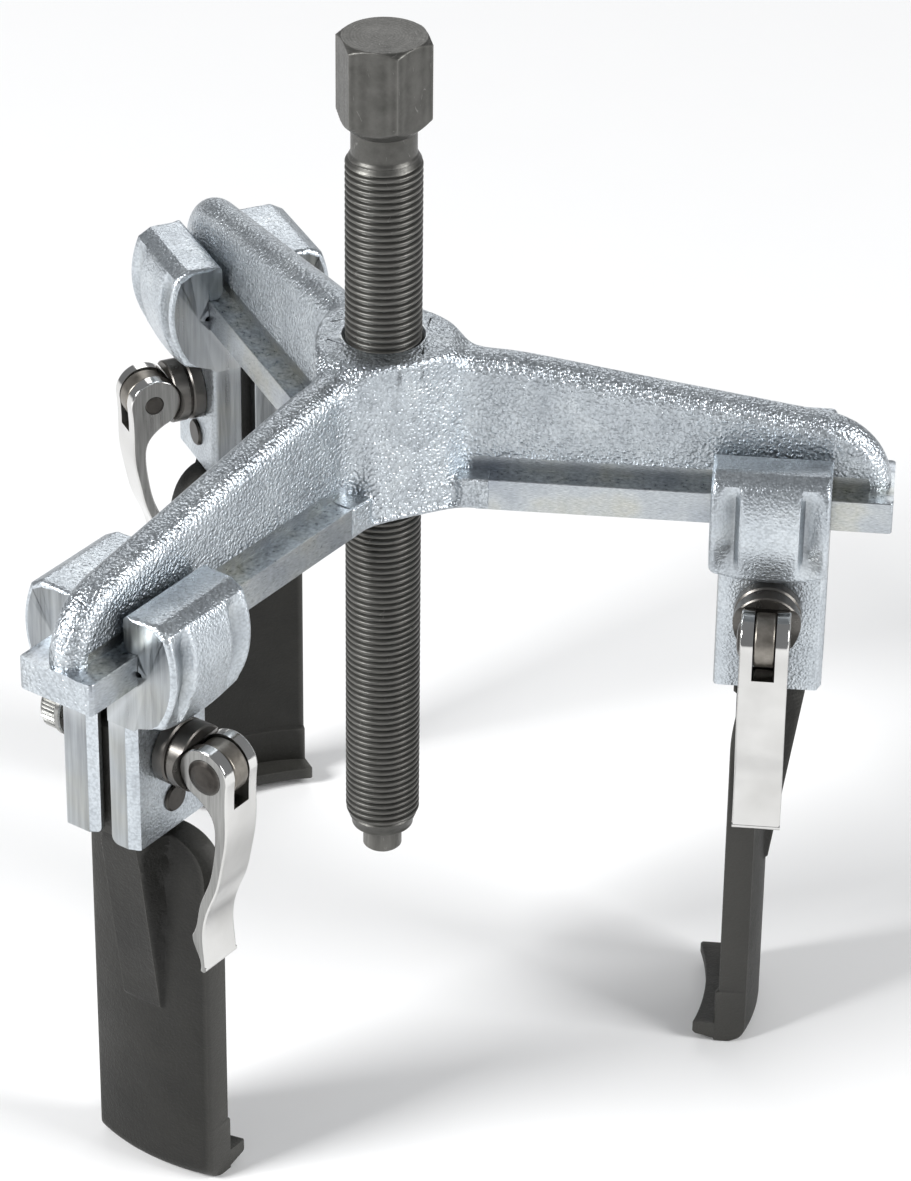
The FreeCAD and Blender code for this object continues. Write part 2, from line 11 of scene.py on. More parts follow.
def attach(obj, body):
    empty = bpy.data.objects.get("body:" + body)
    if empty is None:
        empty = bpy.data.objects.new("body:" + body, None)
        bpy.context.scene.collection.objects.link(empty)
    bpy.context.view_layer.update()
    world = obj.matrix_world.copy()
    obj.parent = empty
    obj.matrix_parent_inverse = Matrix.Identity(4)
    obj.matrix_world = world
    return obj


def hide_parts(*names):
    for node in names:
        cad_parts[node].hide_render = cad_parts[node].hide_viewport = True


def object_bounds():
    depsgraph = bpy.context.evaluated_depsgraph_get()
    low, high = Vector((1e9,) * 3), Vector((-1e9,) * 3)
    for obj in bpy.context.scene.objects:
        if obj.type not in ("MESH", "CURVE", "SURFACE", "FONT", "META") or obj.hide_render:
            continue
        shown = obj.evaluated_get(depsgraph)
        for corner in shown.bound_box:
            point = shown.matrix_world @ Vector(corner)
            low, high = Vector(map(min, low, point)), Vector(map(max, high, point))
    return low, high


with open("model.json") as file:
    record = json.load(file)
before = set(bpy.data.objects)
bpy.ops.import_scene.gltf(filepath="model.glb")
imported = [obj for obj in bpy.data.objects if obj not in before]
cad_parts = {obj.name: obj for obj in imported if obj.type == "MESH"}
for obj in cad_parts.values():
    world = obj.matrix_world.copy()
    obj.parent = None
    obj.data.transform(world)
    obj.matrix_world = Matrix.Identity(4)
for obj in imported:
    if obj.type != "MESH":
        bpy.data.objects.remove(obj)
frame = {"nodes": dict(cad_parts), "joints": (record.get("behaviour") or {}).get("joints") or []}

bl_info = {
    "name": "Three-Arm Gear Puller",
    "version": (1, 0, 0),
    "blender": (4, 5, 0),
    "location": "View3D > Sidebar > Puller",
    "description": "Builds the visible surfaces of a sliding-leg gear puller round its CAD frame",
    "category": "Add Mesh",
}

MM = 0.001
WELD = 2e-6    # metres; points closer than this are one point
CAD_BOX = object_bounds()
NODES = frame["nodes"]
ARM_NAMES = ("a", "b", "c")


# ---- arms

def hinge_of(joint_name):
    """The joint of that name, as the record holds it."""
    return next(joint for joint in frame["joints"] if joint["name"] == joint_name)


def arm_frame(name):
    """Direction angle of an arm and the distance of its slider, read from the leg's pin joint."""
    x, y, _ = hinge_of("leg_sway_" + name)["pos_m"]
    return math.atan2(y, x), math.hypot(x, y)


def lever_side(name):
    """+1 where the cam lever is on the left of its arm seen from the hub, -1 on the right."""
    angle, _ = arm_frame(name)
    x, y, _ = hinge_of("lever_swing_" + name)["pos_m"]
    return 1.0 if -x * math.sin(angle) + y * math.cos(angle) > 0 else -1.0


# ---- meshes

def grid_faces(rows, columns, wrap):
    """Quads of a rows x columns grid of points, numbered row by row; wrap joins the last column to
    the first.
    """
    r, c = np.meshgrid(np.arange(rows - 1), np.arange(columns if wrap else columns - 1),
                       indexing="ij")
    first, following = r * columns + c, r * columns + (c + 1) % columns
    return np.stack([first, first + columns, following + columns, following], -1).reshape(-1, 4)


def shown(name, data):
    """A new object with that data, linked into the scene."""
    thing = bpy.data.objects.new(name, data)
    bpy.context.scene.collection.objects.link(thing)
    return thing


def add_piece(name, body, replaced, finish, sharp_degrees, parts):
    """One mesh object from grids of points: x, y, z and 1 where milled. A grid is a "sheet", or its
    columns close to a "ring", or to a "tube" with a face over each open end. Welds what touches,
    turns the faces outwards, marks edges sharper than the limit, and rides on its CAD body.
    """
    faces, offset = [], 0
    for grid, form in parts:
        rows, columns = grid.shape[:2]
        faces += (grid_faces(rows, columns, form != "sheet") + offset).tolist()
        if form == "tube":
            for start in (0, (rows - 1) * columns):
                faces.append((offset + start + np.arange(columns)).tolist())
        offset += rows * columns
    points = np.concatenate([grid.reshape(-1, 4) for grid, _ in parts])
    mesh = bpy.data.meshes.new(name)
    mesh.from_pydata((points[:, :3] * MM).tolist(), [], faces)
    values = mesh.attributes.new("machined", "FLOAT", "POINT").data
    values.foreach_set("value", points[:, 3].astype(np.float32))
    clean(mesh)
    mesh.shade_smooth()
    mesh.set_sharp_from_angle(angle=math.radians(sharp_degrees))
    piece = shown(name, mesh)
    dress(piece, finish)
    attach(piece, body)
    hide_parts(replaced)


def clean(mesh):
    """Merges points that touch, drops collapsed faces and turns faces outwards."""
    work = bmesh.new()
    work.from_mesh(mesh)
    bmesh.ops.remove_doubles(work, verts=work.verts, dist=WELD)
    bmesh.ops.dissolve_degenerate(work, dist=WELD / 4, edges=work.edges)
    bmesh.ops.recalc_face_normals(work, faces=work.faces)
    work.to_mesh(mesh)
    work.free()


# ---- materials

class Recipe:
    """A node material being built: short names for the few node kinds that the finishes use."""

    def __init__(self, name):
        self.material = bpy.data.materials.new(name)
        self.material.use_nodes = True
        self.tree = self.material.node_tree
        self.shader = self.tree.nodes["Principled BSDF"]
        self.place = self.node("ShaderNodeTexCoord").outputs["Object"]

    def fill(self, node, inputs):
        """Links or sets each input, by its name or number."""
        for key, value in inputs.items():
            if isinstance(value, bpy.types.NodeSocket):
                self.tree.links.new(value, node.inputs[key])
            else:
                node.inputs[key].default_value = value

    def node(self, kind, inputs=None, **settings):
        made = self.tree.nodes.new(kind)
        for key, value in settings.items():
            setattr(made, key, value)
        self.fill(made, inputs or {})
        return made

    def stretched(self, scale, turn=(0.0, 0.0, 0.0)):
        """Object coordinates scaled and turned, so that a pattern can be drawn out one way."""
        inputs = {"Scale": scale, "Rotation": turn, "Vector": self.place}
        return self.node("ShaderNodeMapping", inputs).outputs["Vector"]

    def noise(self, scale, detail=4.0, roughness=0.5, source=None):
        inputs = {"Scale": scale, "Detail": detail, "Roughness": roughness,
                  "Vector": source or self.place}
        return self.node("ShaderNodeTexNoise", inputs).outputs["Fac"]

    def cells(self, scale):
        """Rounded pebbles: 0 at each pebble's middle, rising to its rim."""
        inputs = {"Scale": scale, "Smoothness": 0.6, "Vector": self.place}
        node = self.node("ShaderNodeTexVoronoi", inputs, feature="SMOOTH_F1")
        return node.outputs["Distance"]

    def ramp(self, value, stops):
        """A colour or grey value that follows (position, colour) stops."""
        node = self.node("ShaderNodeValToRGB", {"Fac": value})
        elements = node.color_ramp.elements
        while len(elements) < len(stops):
            elements.new(0.5)
        for element, (position, colour) in zip(elements, stops):
            rgb = colour if isinstance(colour, tuple) else (colour,) * 3
            element.position = position
            element.color = (*rgb, 1.0)
        return node.outputs["Color"]

    def math(self, operation, first, second=0.0):
        node = self.node("ShaderNodeMath", {0: first, 1: second}, operation=operation)
        return node.outputs["Value"]

    def mix(self, factor, first, second, blend="MIX", kind="RGBA"):
        """Two colours, or with the kind VECTOR two directions, blended by a factor."""
        node = self.node("ShaderNodeMix", data_type=kind, blend_type=blend)
        number = {s.name: k for k, s in enumerate(node.inputs) if s.enabled}
        self.fill(node, {number["Factor"]: factor, number["A"]: first, number["B"]: second})
        return next(s for s in node.outputs if s.enabled)

    def bump(self, height, strength, distance):
        inputs = {"Height": height, "Strength": strength, "Distance": distance}
        return self.node("ShaderNodeBump", inputs).outputs["Normal"]

    def finish(self, colour, roughness, metallic, normal=None):
        self.fill(self.shader, {"Base Color": colour, "Roughness": roughness,
                                "Metallic": metallic})
        if normal is not None:
            self.fill(self.shader, {"Normal": normal})
        return self.material


def edge_wear(recipe, low, high, share):
    """Grey value that rises to the share on convex edges, from the surface's own curvature."""
    node = recipe.node("ShaderNodeNewGeometry")
    ramp = recipe.ramp(node.outputs["Pointiness"], [(low, 0.0), (high, 1.0)])
    return recipe.math("MULTIPLY", ramp, share)


def shaded(stops, shade):
    """Colour stops made brighter or darker by one factor."""
    return [(position, tuple(shade * part for part in colour)) for position, colour in stops]


def zinc_finish(name, line_scale, pebble_scale, relief, forged_shade, milled_shade):
    """Bright zinc on forged steel: a pebbled forged skin with a bluish cloud and painted shade in
    the creases between its pebbles, and milled faces with fine tool lines, drawn out by line_scale,
    and a faint yellow and violet bloom. The shades scale the two skins' brightness; a milled shade
    below 1 is painted shade on the milled faces.
    """
    m = Recipe(name)
    pebbles = m.cells(pebble_scale)
    grain = m.noise(pebble_scale * 1.4, 2.0)
    dents = m.noise(190.0, 2.0)
    height = m.math("ADD", m.math("MULTIPLY", pebbles, -1.1), m.math("MULTIPLY", grain, 0.9))
    height = m.math("ADD", height, m.math("MULTIPLY", dents, 0.35))
    cloud = shaded([(0.30, (0.37, 0.40, 0.43)), (0.55, (0.46, 0.495, 0.525)),
                    (0.75, (0.56, 0.595, 0.62))], forged_shade)
    forged = m.ramp(m.noise(70.0, 5.0, 0.65), cloud)
    # the pebbles' sunken rims are darkened: painted shade in the creases between pebbles
    forged = m.mix(1.0, forged, m.ramp(pebbles, [(0.35, 1.0), (0.75, 0.78)]), "MULTIPLY")
    forged_rough = m.ramp(grain, [(0.3, 0.42), (0.7, 0.27)])

    lines = m.noise(700.0, 3.0, 0.6, m.stretched(line_scale))
    bloom = shaded([(0.30, (0.37, 0.40, 0.44)), (0.50, (0.48, 0.51, 0.53)),
                    (0.64, (0.51, 0.52, 0.49)), (0.78, (0.46, 0.48, 0.52))], milled_shade)
    milled = m.mix(0.5, m.ramp(m.noise(55.0, 3.0), bloom),
                   m.ramp(lines, [(0.35, 0.2), (0.65, 0.8)]), "OVERLAY")
    milled_rough = m.ramp(lines, [(0.25, 0.24), (0.75, 0.40)])

    share = m.node("ShaderNodeAttribute", attribute_name="machined").outputs["Fac"]
    normal = m.mix(share, m.bump(height, 1.0, relief), m.bump(lines, 0.22, 0.00012), kind="VECTOR")
    colour = m.mix(edge_wear(m, 0.53, 0.62, 0.55), m.mix(share, forged, milled),
                   (0.72, 0.75, 0.77, 1.0))
    return m.finish(colour, m.mix(share, forged_rough, milled_rough), 1.0, normal)


def dark_screw_finish(name):
    """Phosphated, oiled screw: dark grey with a soft gloss, turned rings round the axis, worn
    thread crests and a few short scratches.
    """
    m = Recipe(name)
    mottle = m.noise(190.0, 5.0, 0.65)
    fine = m.noise(1500.0, 2.0)
    rings = m.node("ShaderNodeTexWave", {"Scale": 330.0, "Distortion": 1.5, "Vector": m.place},
                   wave_type="RINGS", rings_direction="Z").outputs["Fac"]
    tone = m.ramp(mottle, [(0.28, (0.062, 0.061, 0.056)), (0.72, (0.108, 0.106, 0.099))])
    tone = m.mix(m.math("MULTIPLY", rings, 0.16), tone, (0.20, 0.197, 0.185, 1.0))
    leaning = m.noise(150.0, 1.0, 0.3, m.stretched((1.0, 1.0, 0.3), (0.5, 0.35, 0.0)))
    scratches = m.ramp(leaning, [(0.492, 0.0), (0.5, 0.45), (0.508, 0.0)])
    patches = m.ramp(m.noise(330.0, 3.0, 0.6), [(0.54, 0.0), (0.60, 1.0)])
    colour = m.mix(m.math("MULTIPLY", scratches, patches), tone, (0.34, 0.335, 0.32, 1.0))
    colour = m.mix(edge_wear(m, 0.51, 0.58, 0.4), colour, (0.29, 0.285, 0.265, 1.0))
    height = m.math("ADD", fine, m.math("MULTIPLY", rings, 0.7))
    rough = m.ramp(fine, [(0.25, 0.34), (0.75, 0.50)])
    return m.finish(colour, rough, 0.75, m.bump(height, 0.25, 0.0001))


def dark_leg_finish():
    """Drop-forged leg: olive black phosphate, even fine grain, oil smears and rubbed edges."""
    m = Recipe("leg_phosphate")
    grain = m.noise(1300.0, 3.0, 0.6)
    cloud = m.noise(40.0, 5.0, 0.6)
    tone = m.ramp(cloud, [(0.3, (0.008, 0.0078, 0.0065)), (0.7, (0.017, 0.0165, 0.014))])
    colour = m.mix(edge_wear(m, 0.515, 0.58, 0.5), tone, (0.10, 0.098, 0.09, 1.0))
    smear = m.ramp(m.noise(28.0, 3.0), [(0.35, 0.42), (0.65, 0.58)])
    rough = m.mix(0.35, smear, m.ramp(grain, [(0.25, 0.4), (0.75, 0.7)]))
    m.shader.inputs["Specular IOR Level"].default_value = 0.34
    height = m.math("ADD", grain, m.math("MULTIPLY", m.noise(260.0, 4.0, 0.6), 1.2))
    return m.finish(colour, rough, 0.0, m.bump(height, 0.7, 0.0003))


def lever_finish(name, across_flank):
    """Stainless cam lever: polished all round its profile, with matt brushed flanks, which are the
    faces square to the given direction.
    """
    m = Recipe(name)
    lines = m.noise(1000.0, 3.0, 0.6, m.stretched((1.0, 1.0, 0.05)))
    smears = m.noise(60.0, 3.0)
    dot = m.node("ShaderNodeVectorMath", {0: m.place.node.outputs["Normal"], 1: across_flank},
                 operation="DOT_PRODUCT")
    flank = m.ramp(m.math("ABSOLUTE", dot.outputs["Value"]), [(0.86, 0.0), (0.97, 1.0)])
    polished = m.ramp(smears, [(0.3, (0.60, 0.595, 0.58)), (0.7, (0.74, 0.735, 0.72))])
    brushed = m.ramp(lines, [(0.3, (0.22, 0.22, 0.215)), (0.7, (0.36, 0.36, 0.35))])
    polished_rough = m.ramp(smears, [(0.3, 0.07), (0.7, 0.15)])
    brushed_rough = m.ramp(lines, [(0.25, 0.24), (0.75, 0.40)])
    return m.finish(m.mix(flank, polished, brushed), m.mix(flank, polished_rough, brushed_rough),
                    1.0, m.bump(lines, 0.12, 0.00006))


def mottled_finish(name, scale, tones, gloss, metallic, strength, distance, wear=None):
    """Turned or forged steel in two mottled tones, whose roughness runs over the gloss range with
    the mottling, and whose edges may be worn bright.
    """
    m = Recipe(name)
    mottle = m.noise(scale, 4.0, 0.6)
    colour = m.ramp(mottle, [(0.3, tones[0]), (0.7, tones[1])])
    if wear:
        colour = m.mix(edge_wear(m, 0.52, 0.62, 0.5), colour, wear)
    rough = m.ramp(mottle, [(0.25, gloss[0]), (0.75, gloss[1])])
    return m.finish(colour, rough, metallic, m.bump(mottle, strength, distance))


def hardware_finishes():
    """The clamps' small parts: black oxide, brownish forged eyes, knurled nuts in dulled zinc."""
    black = mottled_finish("black_oxide", 260.0, ((0.030, 0.027, 0.024), (0.062, 0.056, 0.050)),
                           (0.24, 0.40), 0.8, 0.2, 0.0001, (0.24, 0.23, 0.215, 1.0))
    eye = mottled_finish("eye_steel", 240.0, ((0.16, 0.145, 0.125), (0.30, 0.28, 0.25)),
                         (0.28, 0.44), 0.9, 0.3, 0.00015)
    nut = mottled_finish("nut_zinc", 320.0, ((0.22, 0.22, 0.21), (0.38, 0.38, 0.37)),
                         (0.22, 0.36), 1.0, 0.15, 0.00008)
    return {"pressure_ring": black, "saddle_washer": black, "eye_bolt": eye, "lever_pin": black,
            "nut_washer": black, "leg_pin": black, "knurled_nut": nut}


def dress(thing, material):
    """Gives every material slot of an object the same finish."""
    thing.data.materials.clear()
    thing.data.materials.append(material)


# ---- shape helpers

def smooth(low, high, value):
    """0 below low, 1 above high, and an S-curve between them."""
    t = np.clip((value - low) / (high - low), 0.0, 1.0)
    return t * t * (3.0 - 2.0 * t)


def quarter(share):
    """Fall of a quarter round: 0 at share 0, 1 at share 1, level at first and steep at the end."""
    return 1.0 - np.sqrt(np.clip(1.0 - np.clip(share, 0.0, 1.0) ** 2, 0.0, 1.0))


def turned_about_z(points, angle):
    """Points turned about the spindle's axis; whatever follows their x and y stays."""
    c, s = math.cos(angle), math.sin(angle)
    x, y = points[..., 0], points[..., 1]
    return np.concatenate([np.stack([x * c - y * s, x * s + y * c], -1), points[..., 2:]], -1)


def grid_of(*coordinates):
    """Points from coordinate arrays that are spread over one common grid."""
    return np.stack(np.broadcast_arrays(*coordinates), -1)


def around(radius, angles, z, machined=0.0):
    """Points at the radii, angles and heights given, round the spindle's axis."""
    return grid_of(radius * np.cos(angles), radius * np.sin(angles), z, machined)


def along_arm(points, name, side=1.0):
    """Points given as (out from the bolt, across, up) placed on an arm; side -1 mirrors them."""
    angle, distance = arm_frame(name)
    placed = points.copy()
    placed[..., 0] += distance / MM
    placed[..., 1] *= side
    return turned_about_z(placed, angle)


def arc(centre, radius, start, end, count):
    """Points on a circular arc, angles in degrees."""
    a = np.radians(np.linspace(start, end, count))
    return np.stack([centre[0] + radius * np.cos(a), centre[1] + radius * np.sin(a)], -1)


def even_loop(corners, spacing):
    """A closed polygon with points added along its sides, no further apart than the spacing."""
    corners = np.asarray(corners, float)
    following = np.roll(corners, -1, axis=0)
    pieces = []
    for here, there in zip(corners, following):
        count = max(1, int(np.ceil(np.linalg.norm(there - here) / spacing)))
        pieces.append(here + (there - here) * np.linspace(0, 1, count, endpoint=False)[:, None])
    return np.concatenate(pieces)


# ---- spindle

class PULLER_PG_spindle(bpy.types.PropertyGroup):
    thread_radius: FloatProperty(
        name="Thread radius", description="Outer radius of the thread in millimetres",
        default=11.0, min=5.0, max=20.0)
    pitch: FloatProperty(
        name="Pitch", description="Rise of the thread in one turn, in millimetres",
        default=2.0, min=1.0, max=4.0)
    thread_depth: FloatProperty(
        name="Thread depth", description="Depth of the thread in millimetres",
        default=1.15, min=0.2, max=2.0)
    hexagon_flats: FloatProperty(
        name="Hexagon", description="Width across the flats in millimetres",
        default=24.0, min=10.0, max=40.0)
    hexagon_turn: FloatProperty(
        name="Hexagon turn", description="Turn of the hexagon about the spindle",
        default=math.radians(-8.0), subtype="ANGLE")


SIXTH_DEGREES = np.array([0.0, 1.2, *range(5, 60, 5), 58.8])    # close columns beside each corner
SPINDLE_ENVELOPE_Z = (8.4, 9.3, 14.0, 229.0, 232.0, 239.0)
SPINDLE_ENVELOPE_R = (9.2, 9.2, 11.0, 11.0, 9.35, 9.35)
THREAD_PHASES = np.array([0.0, 0.13, 0.23, 0.41, 0.5, 0.59, 0.77, 0.87])
THREAD_FALL = np.array([0.0, 0.02, 0.16, 0.92, 1.0, 0.92, 0.16, 0.02])
NECK_R, NECK_TOP = 9.35, 239.0
HEX_FULL, HEX_CHAMFER, HEX_TOP = 243.5, 265.5, 267.0
HEX_SPARE, HEX_CUT = 0.2, 2.0
FACE_EDGE, FACE_DISH = 0.97, 0.12
TIP_HOLE_R, TIP_HOLE_TOP = 3.56, 14.5
SPINDLE_SHARP = 40.0


def thread_surface(settings, angles):
    """The threaded rod: each row climbs one pitch per turn, at a fixed place in the profile, so the
    crests run along the grid; the radius is the smaller of thread and envelope, which makes
    the run-outs.
    """
    low, high = SPINDLE_ENVELOPE_Z[0], SPINDLE_ENVELOPE_Z[-1]
    turns = int((high - low) / settings.pitch) + 3
    start = math.floor(low / settings.pitch) - 1
    phase = (start + np.arange(turns)[:, None] + THREAD_PHASES[None, :]).ravel()
    fall = np.tile(THREAD_FALL, turns) * settings.thread_depth
    z = settings.pitch * (phase[:, None] + (angles - angles[0])[None, :] / (2 * math.pi))
    z = np.clip(z, low, high)
    envelope = np.interp(z, SPINDLE_ENVELOPE_Z, SPINDLE_ENVELOPE_R)
    return around(np.minimum(settings.thread_radius - fall[:, None], envelope), angles, z)


def hexagon_surface(settings, angles):
    """The drive end: a hexagon's radius, half the flats over the cosine of the angle from the
    nearest flat, cut by a cone below and a chamfer above, then a shallow turned face closed at the
    axis.
    """
    half = settings.hexagon_flats / 2
    corner = half / math.cos(math.radians(30))
    z = np.concatenate([np.linspace(NECK_TOP, HEX_FULL, 14),
                        np.linspace(HEX_FULL + 1.0, HEX_CHAMFER - 0.9, 12),
                        np.linspace(HEX_CHAMFER - 0.3, HEX_TOP, 10)])
    limit = np.interp(z, (NECK_TOP, HEX_FULL, HEX_CHAMFER, HEX_TOP),
                      (NECK_R, corner + HEX_SPARE, corner + HEX_SPARE, corner - HEX_CUT))
    sixth = math.radians(60)
    from_flat = (angles - settings.hexagon_turn) % sixth - sixth / 2
    sides = np.minimum(half / np.cos(from_flat)[None, :], limit[:, None])
    face = np.linspace(FACE_EDGE, 0.0, 9)[:, None] * sides[-1][None, :]
    dish = HEX_TOP - FACE_DISH * np.sin(np.linspace(0, math.pi, 9))
    return around(np.concatenate([sides, face]), angles, np.concatenate([z, dish])[:, None])


class PULLER_OT_spindle(bpy.types.Operator):
    """Builds the forcing screw with its helical thread, neck and hexagon"""
    bl_idname = "puller.spindle"
    bl_label = "Spindle"

    def execute(self, context):
        settings = context.scene.puller_spindle
        columns = np.append((60.0 * np.arange(6)[:, None] + SIXTH_DEGREES).ravel(), 360.0)
        angles = settings.hexagon_turn + np.radians(columns)
        foot_z, foot_r = SPINDLE_ENVELOPE_Z[0], SPINDLE_ENVELOPE_R[0]
        foot = around(np.array([foot_r, TIP_HOLE_R, TIP_HOLE_R, 0.0])[:, None], angles,
                      np.array([foot_z, foot_z, TIP_HOLE_TOP, TIP_HOLE_TOP])[:, None])
        add_piece("forcing_screw", "spindle", "spindle",
                  dark_screw_finish("screw_phosphate"), SPINDLE_SHARP,
                  [(thread_surface(settings, angles), "sheet"),
                   (hexagon_surface(settings, angles), "sheet"), (foot, "sheet")])
        dress(NODES["thrust_tip"], dark_screw_finish("tip_phosphate"))
        return {"FINISHED"}


# ---- crossbeam

class PULLER_PG_crossbeam(bpy.types.PropertyGroup):
    hub_radius: FloatProperty(
        name="Hub radius", description="Radius of the hub's ring in millimetres",
        default=19.4, min=15.0, max=30.0)
    foot_radius: FloatProperty(
        name="Hub foot", description="Radius of the hub at its foot in millimetres",
        default=22.5, min=15.0, max=40.0)
    web_half: FloatProperty(
        name="Web half", description="Half the web's thickness in millimetres",
        default=5.8, min=3.0, max=10.0)
    corner_round: FloatProperty(
        name="Corner round", description="Radius between hub and web in millimetres",
        default=11.0, min=2.0, max=20.0)


BORE_R, BORE_MOUTH = 11.08, 12.0
HUB_TOP, BORE_MIDDLE, BEAM_BOTTOM = 174.5, 150.0, 126.2
RAIL_HALF, RAIL_TOP, RAIL_END = 12.65, 136.05, 146.4
WEB_LINE = ((14.0, 174.4), (127.0, 156.9))
NOSE_END = (145.4, 137.5)
RELIEF_TOP, RELIEF_DEPTH = 140.0, 0.5
FORGED_END = 32.0
HIDDEN, END_STEP = 1.3, 0.02
TURN_DEGREES = np.linspace(0.0, 60.0, 34)   # columns of a sixth of the bore
NOSE_FROM = 60.0                            # beyond this the crest follows its own line
# distances from the axis between which one form gives way to the next
LEANING, ARM_BEGINS, MILLED_BEGINS = (24.0, 40.0), (19.0, 24.5), (25.5, 27.0)
ROUND_GROWS, HUB_RING, SPREAD_ENDS = (17.5, 26.0), (17.6, 24.5), (90.0, 130.0)
RIM_ROUND, FOOT_SPARE, FOOT_CORNER = 1.7, 0.35, 7.0
SADDLE_AT, SADDLE_WIDE, SADDLE_DEEP = 26.0, 8.0, 1.0
FLARE_TOP, FLARE_POWER, WEB_SPREAD = 168.5, 1.7, 0.35
LEDGE_DROP, LEDGE_STEP, SIDE_STEP, BOTTOM_ROUND = 4.0, 0.02, 0.5, 1.2
RAIL_START, RAIL_ROUND = 28.0, 1.2
RAIL_DISH = ((0.0, 0.0), (5.0, 0.0), (6.2, 0.12), (7.8, 0.28), (9.4, 0.32), (11.0, 0.24),
             (12.2, 0.06), (12.45, 0.0))
BEAM_SHARP = 38.0


def web_top_line():
    """Crest stations of an arm from the nose in: (x, z, normal x, normal z) along a falling
    straight line that turns down on one tangent arc.
    """
    start, turn, end = (np.array(p) for p in (WEB_LINE[0], WEB_LINE[1], NOSE_END))
    along = (turn - start) / np.linalg.norm(turn - start)
    inward = np.array([along[1], -along[0]])
    chord = turn - end
    centre = turn - inward * (chord @ chord) / (2 * (inward @ chord))
    radius = np.linalg.norm(turn - centre)
    first, last = (math.atan2(*(p - centre)[::-1]) for p in (end, turn))
    a = np.linspace(first, last, 22)
    outward = np.stack([np.cos(a), np.sin(a)], -1)
    nose = np.concatenate([centre + radius * outward, outward], -1)
    x = np.concatenate([np.linspace(126.0, 34.0, 36), np.linspace(33.2, 12.0, 34)])
    z = start[1] + (x - start[0]) * along[1] / along[0]
    flat = np.stack([x, z, 0 * x - inward[0], 0 * x - inward[1]], -1)
    return np.concatenate([nose, flat])


def round_union(a, b, radius):
    """Distance to two joined shapes whose inner corner is filled with a round of that radius."""
    corner = np.hypot(np.maximum(radius - a, 0), np.maximum(radius - b, 0))
    return np.maximum(radius, np.minimum(a, b)) - corner


def outline_distance(origin, direction, half, hub, radius):
    """How far each ray runs to the plan outline of hub and arm, by halving the interval."""
    low, high = np.zeros(len(origin)), np.full(len(origin), 45.0)
    for _ in range(40):
        middle = (low + high) / 2
        x, y = (origin + direction * middle[:, None]).T
        outside = round_union(np.abs(y) - half, np.hypot(x, y) - hub, radius) > 0
        low, high = np.where(outside, low, middle), np.where(outside, middle, high)
    return (low + high) / 2


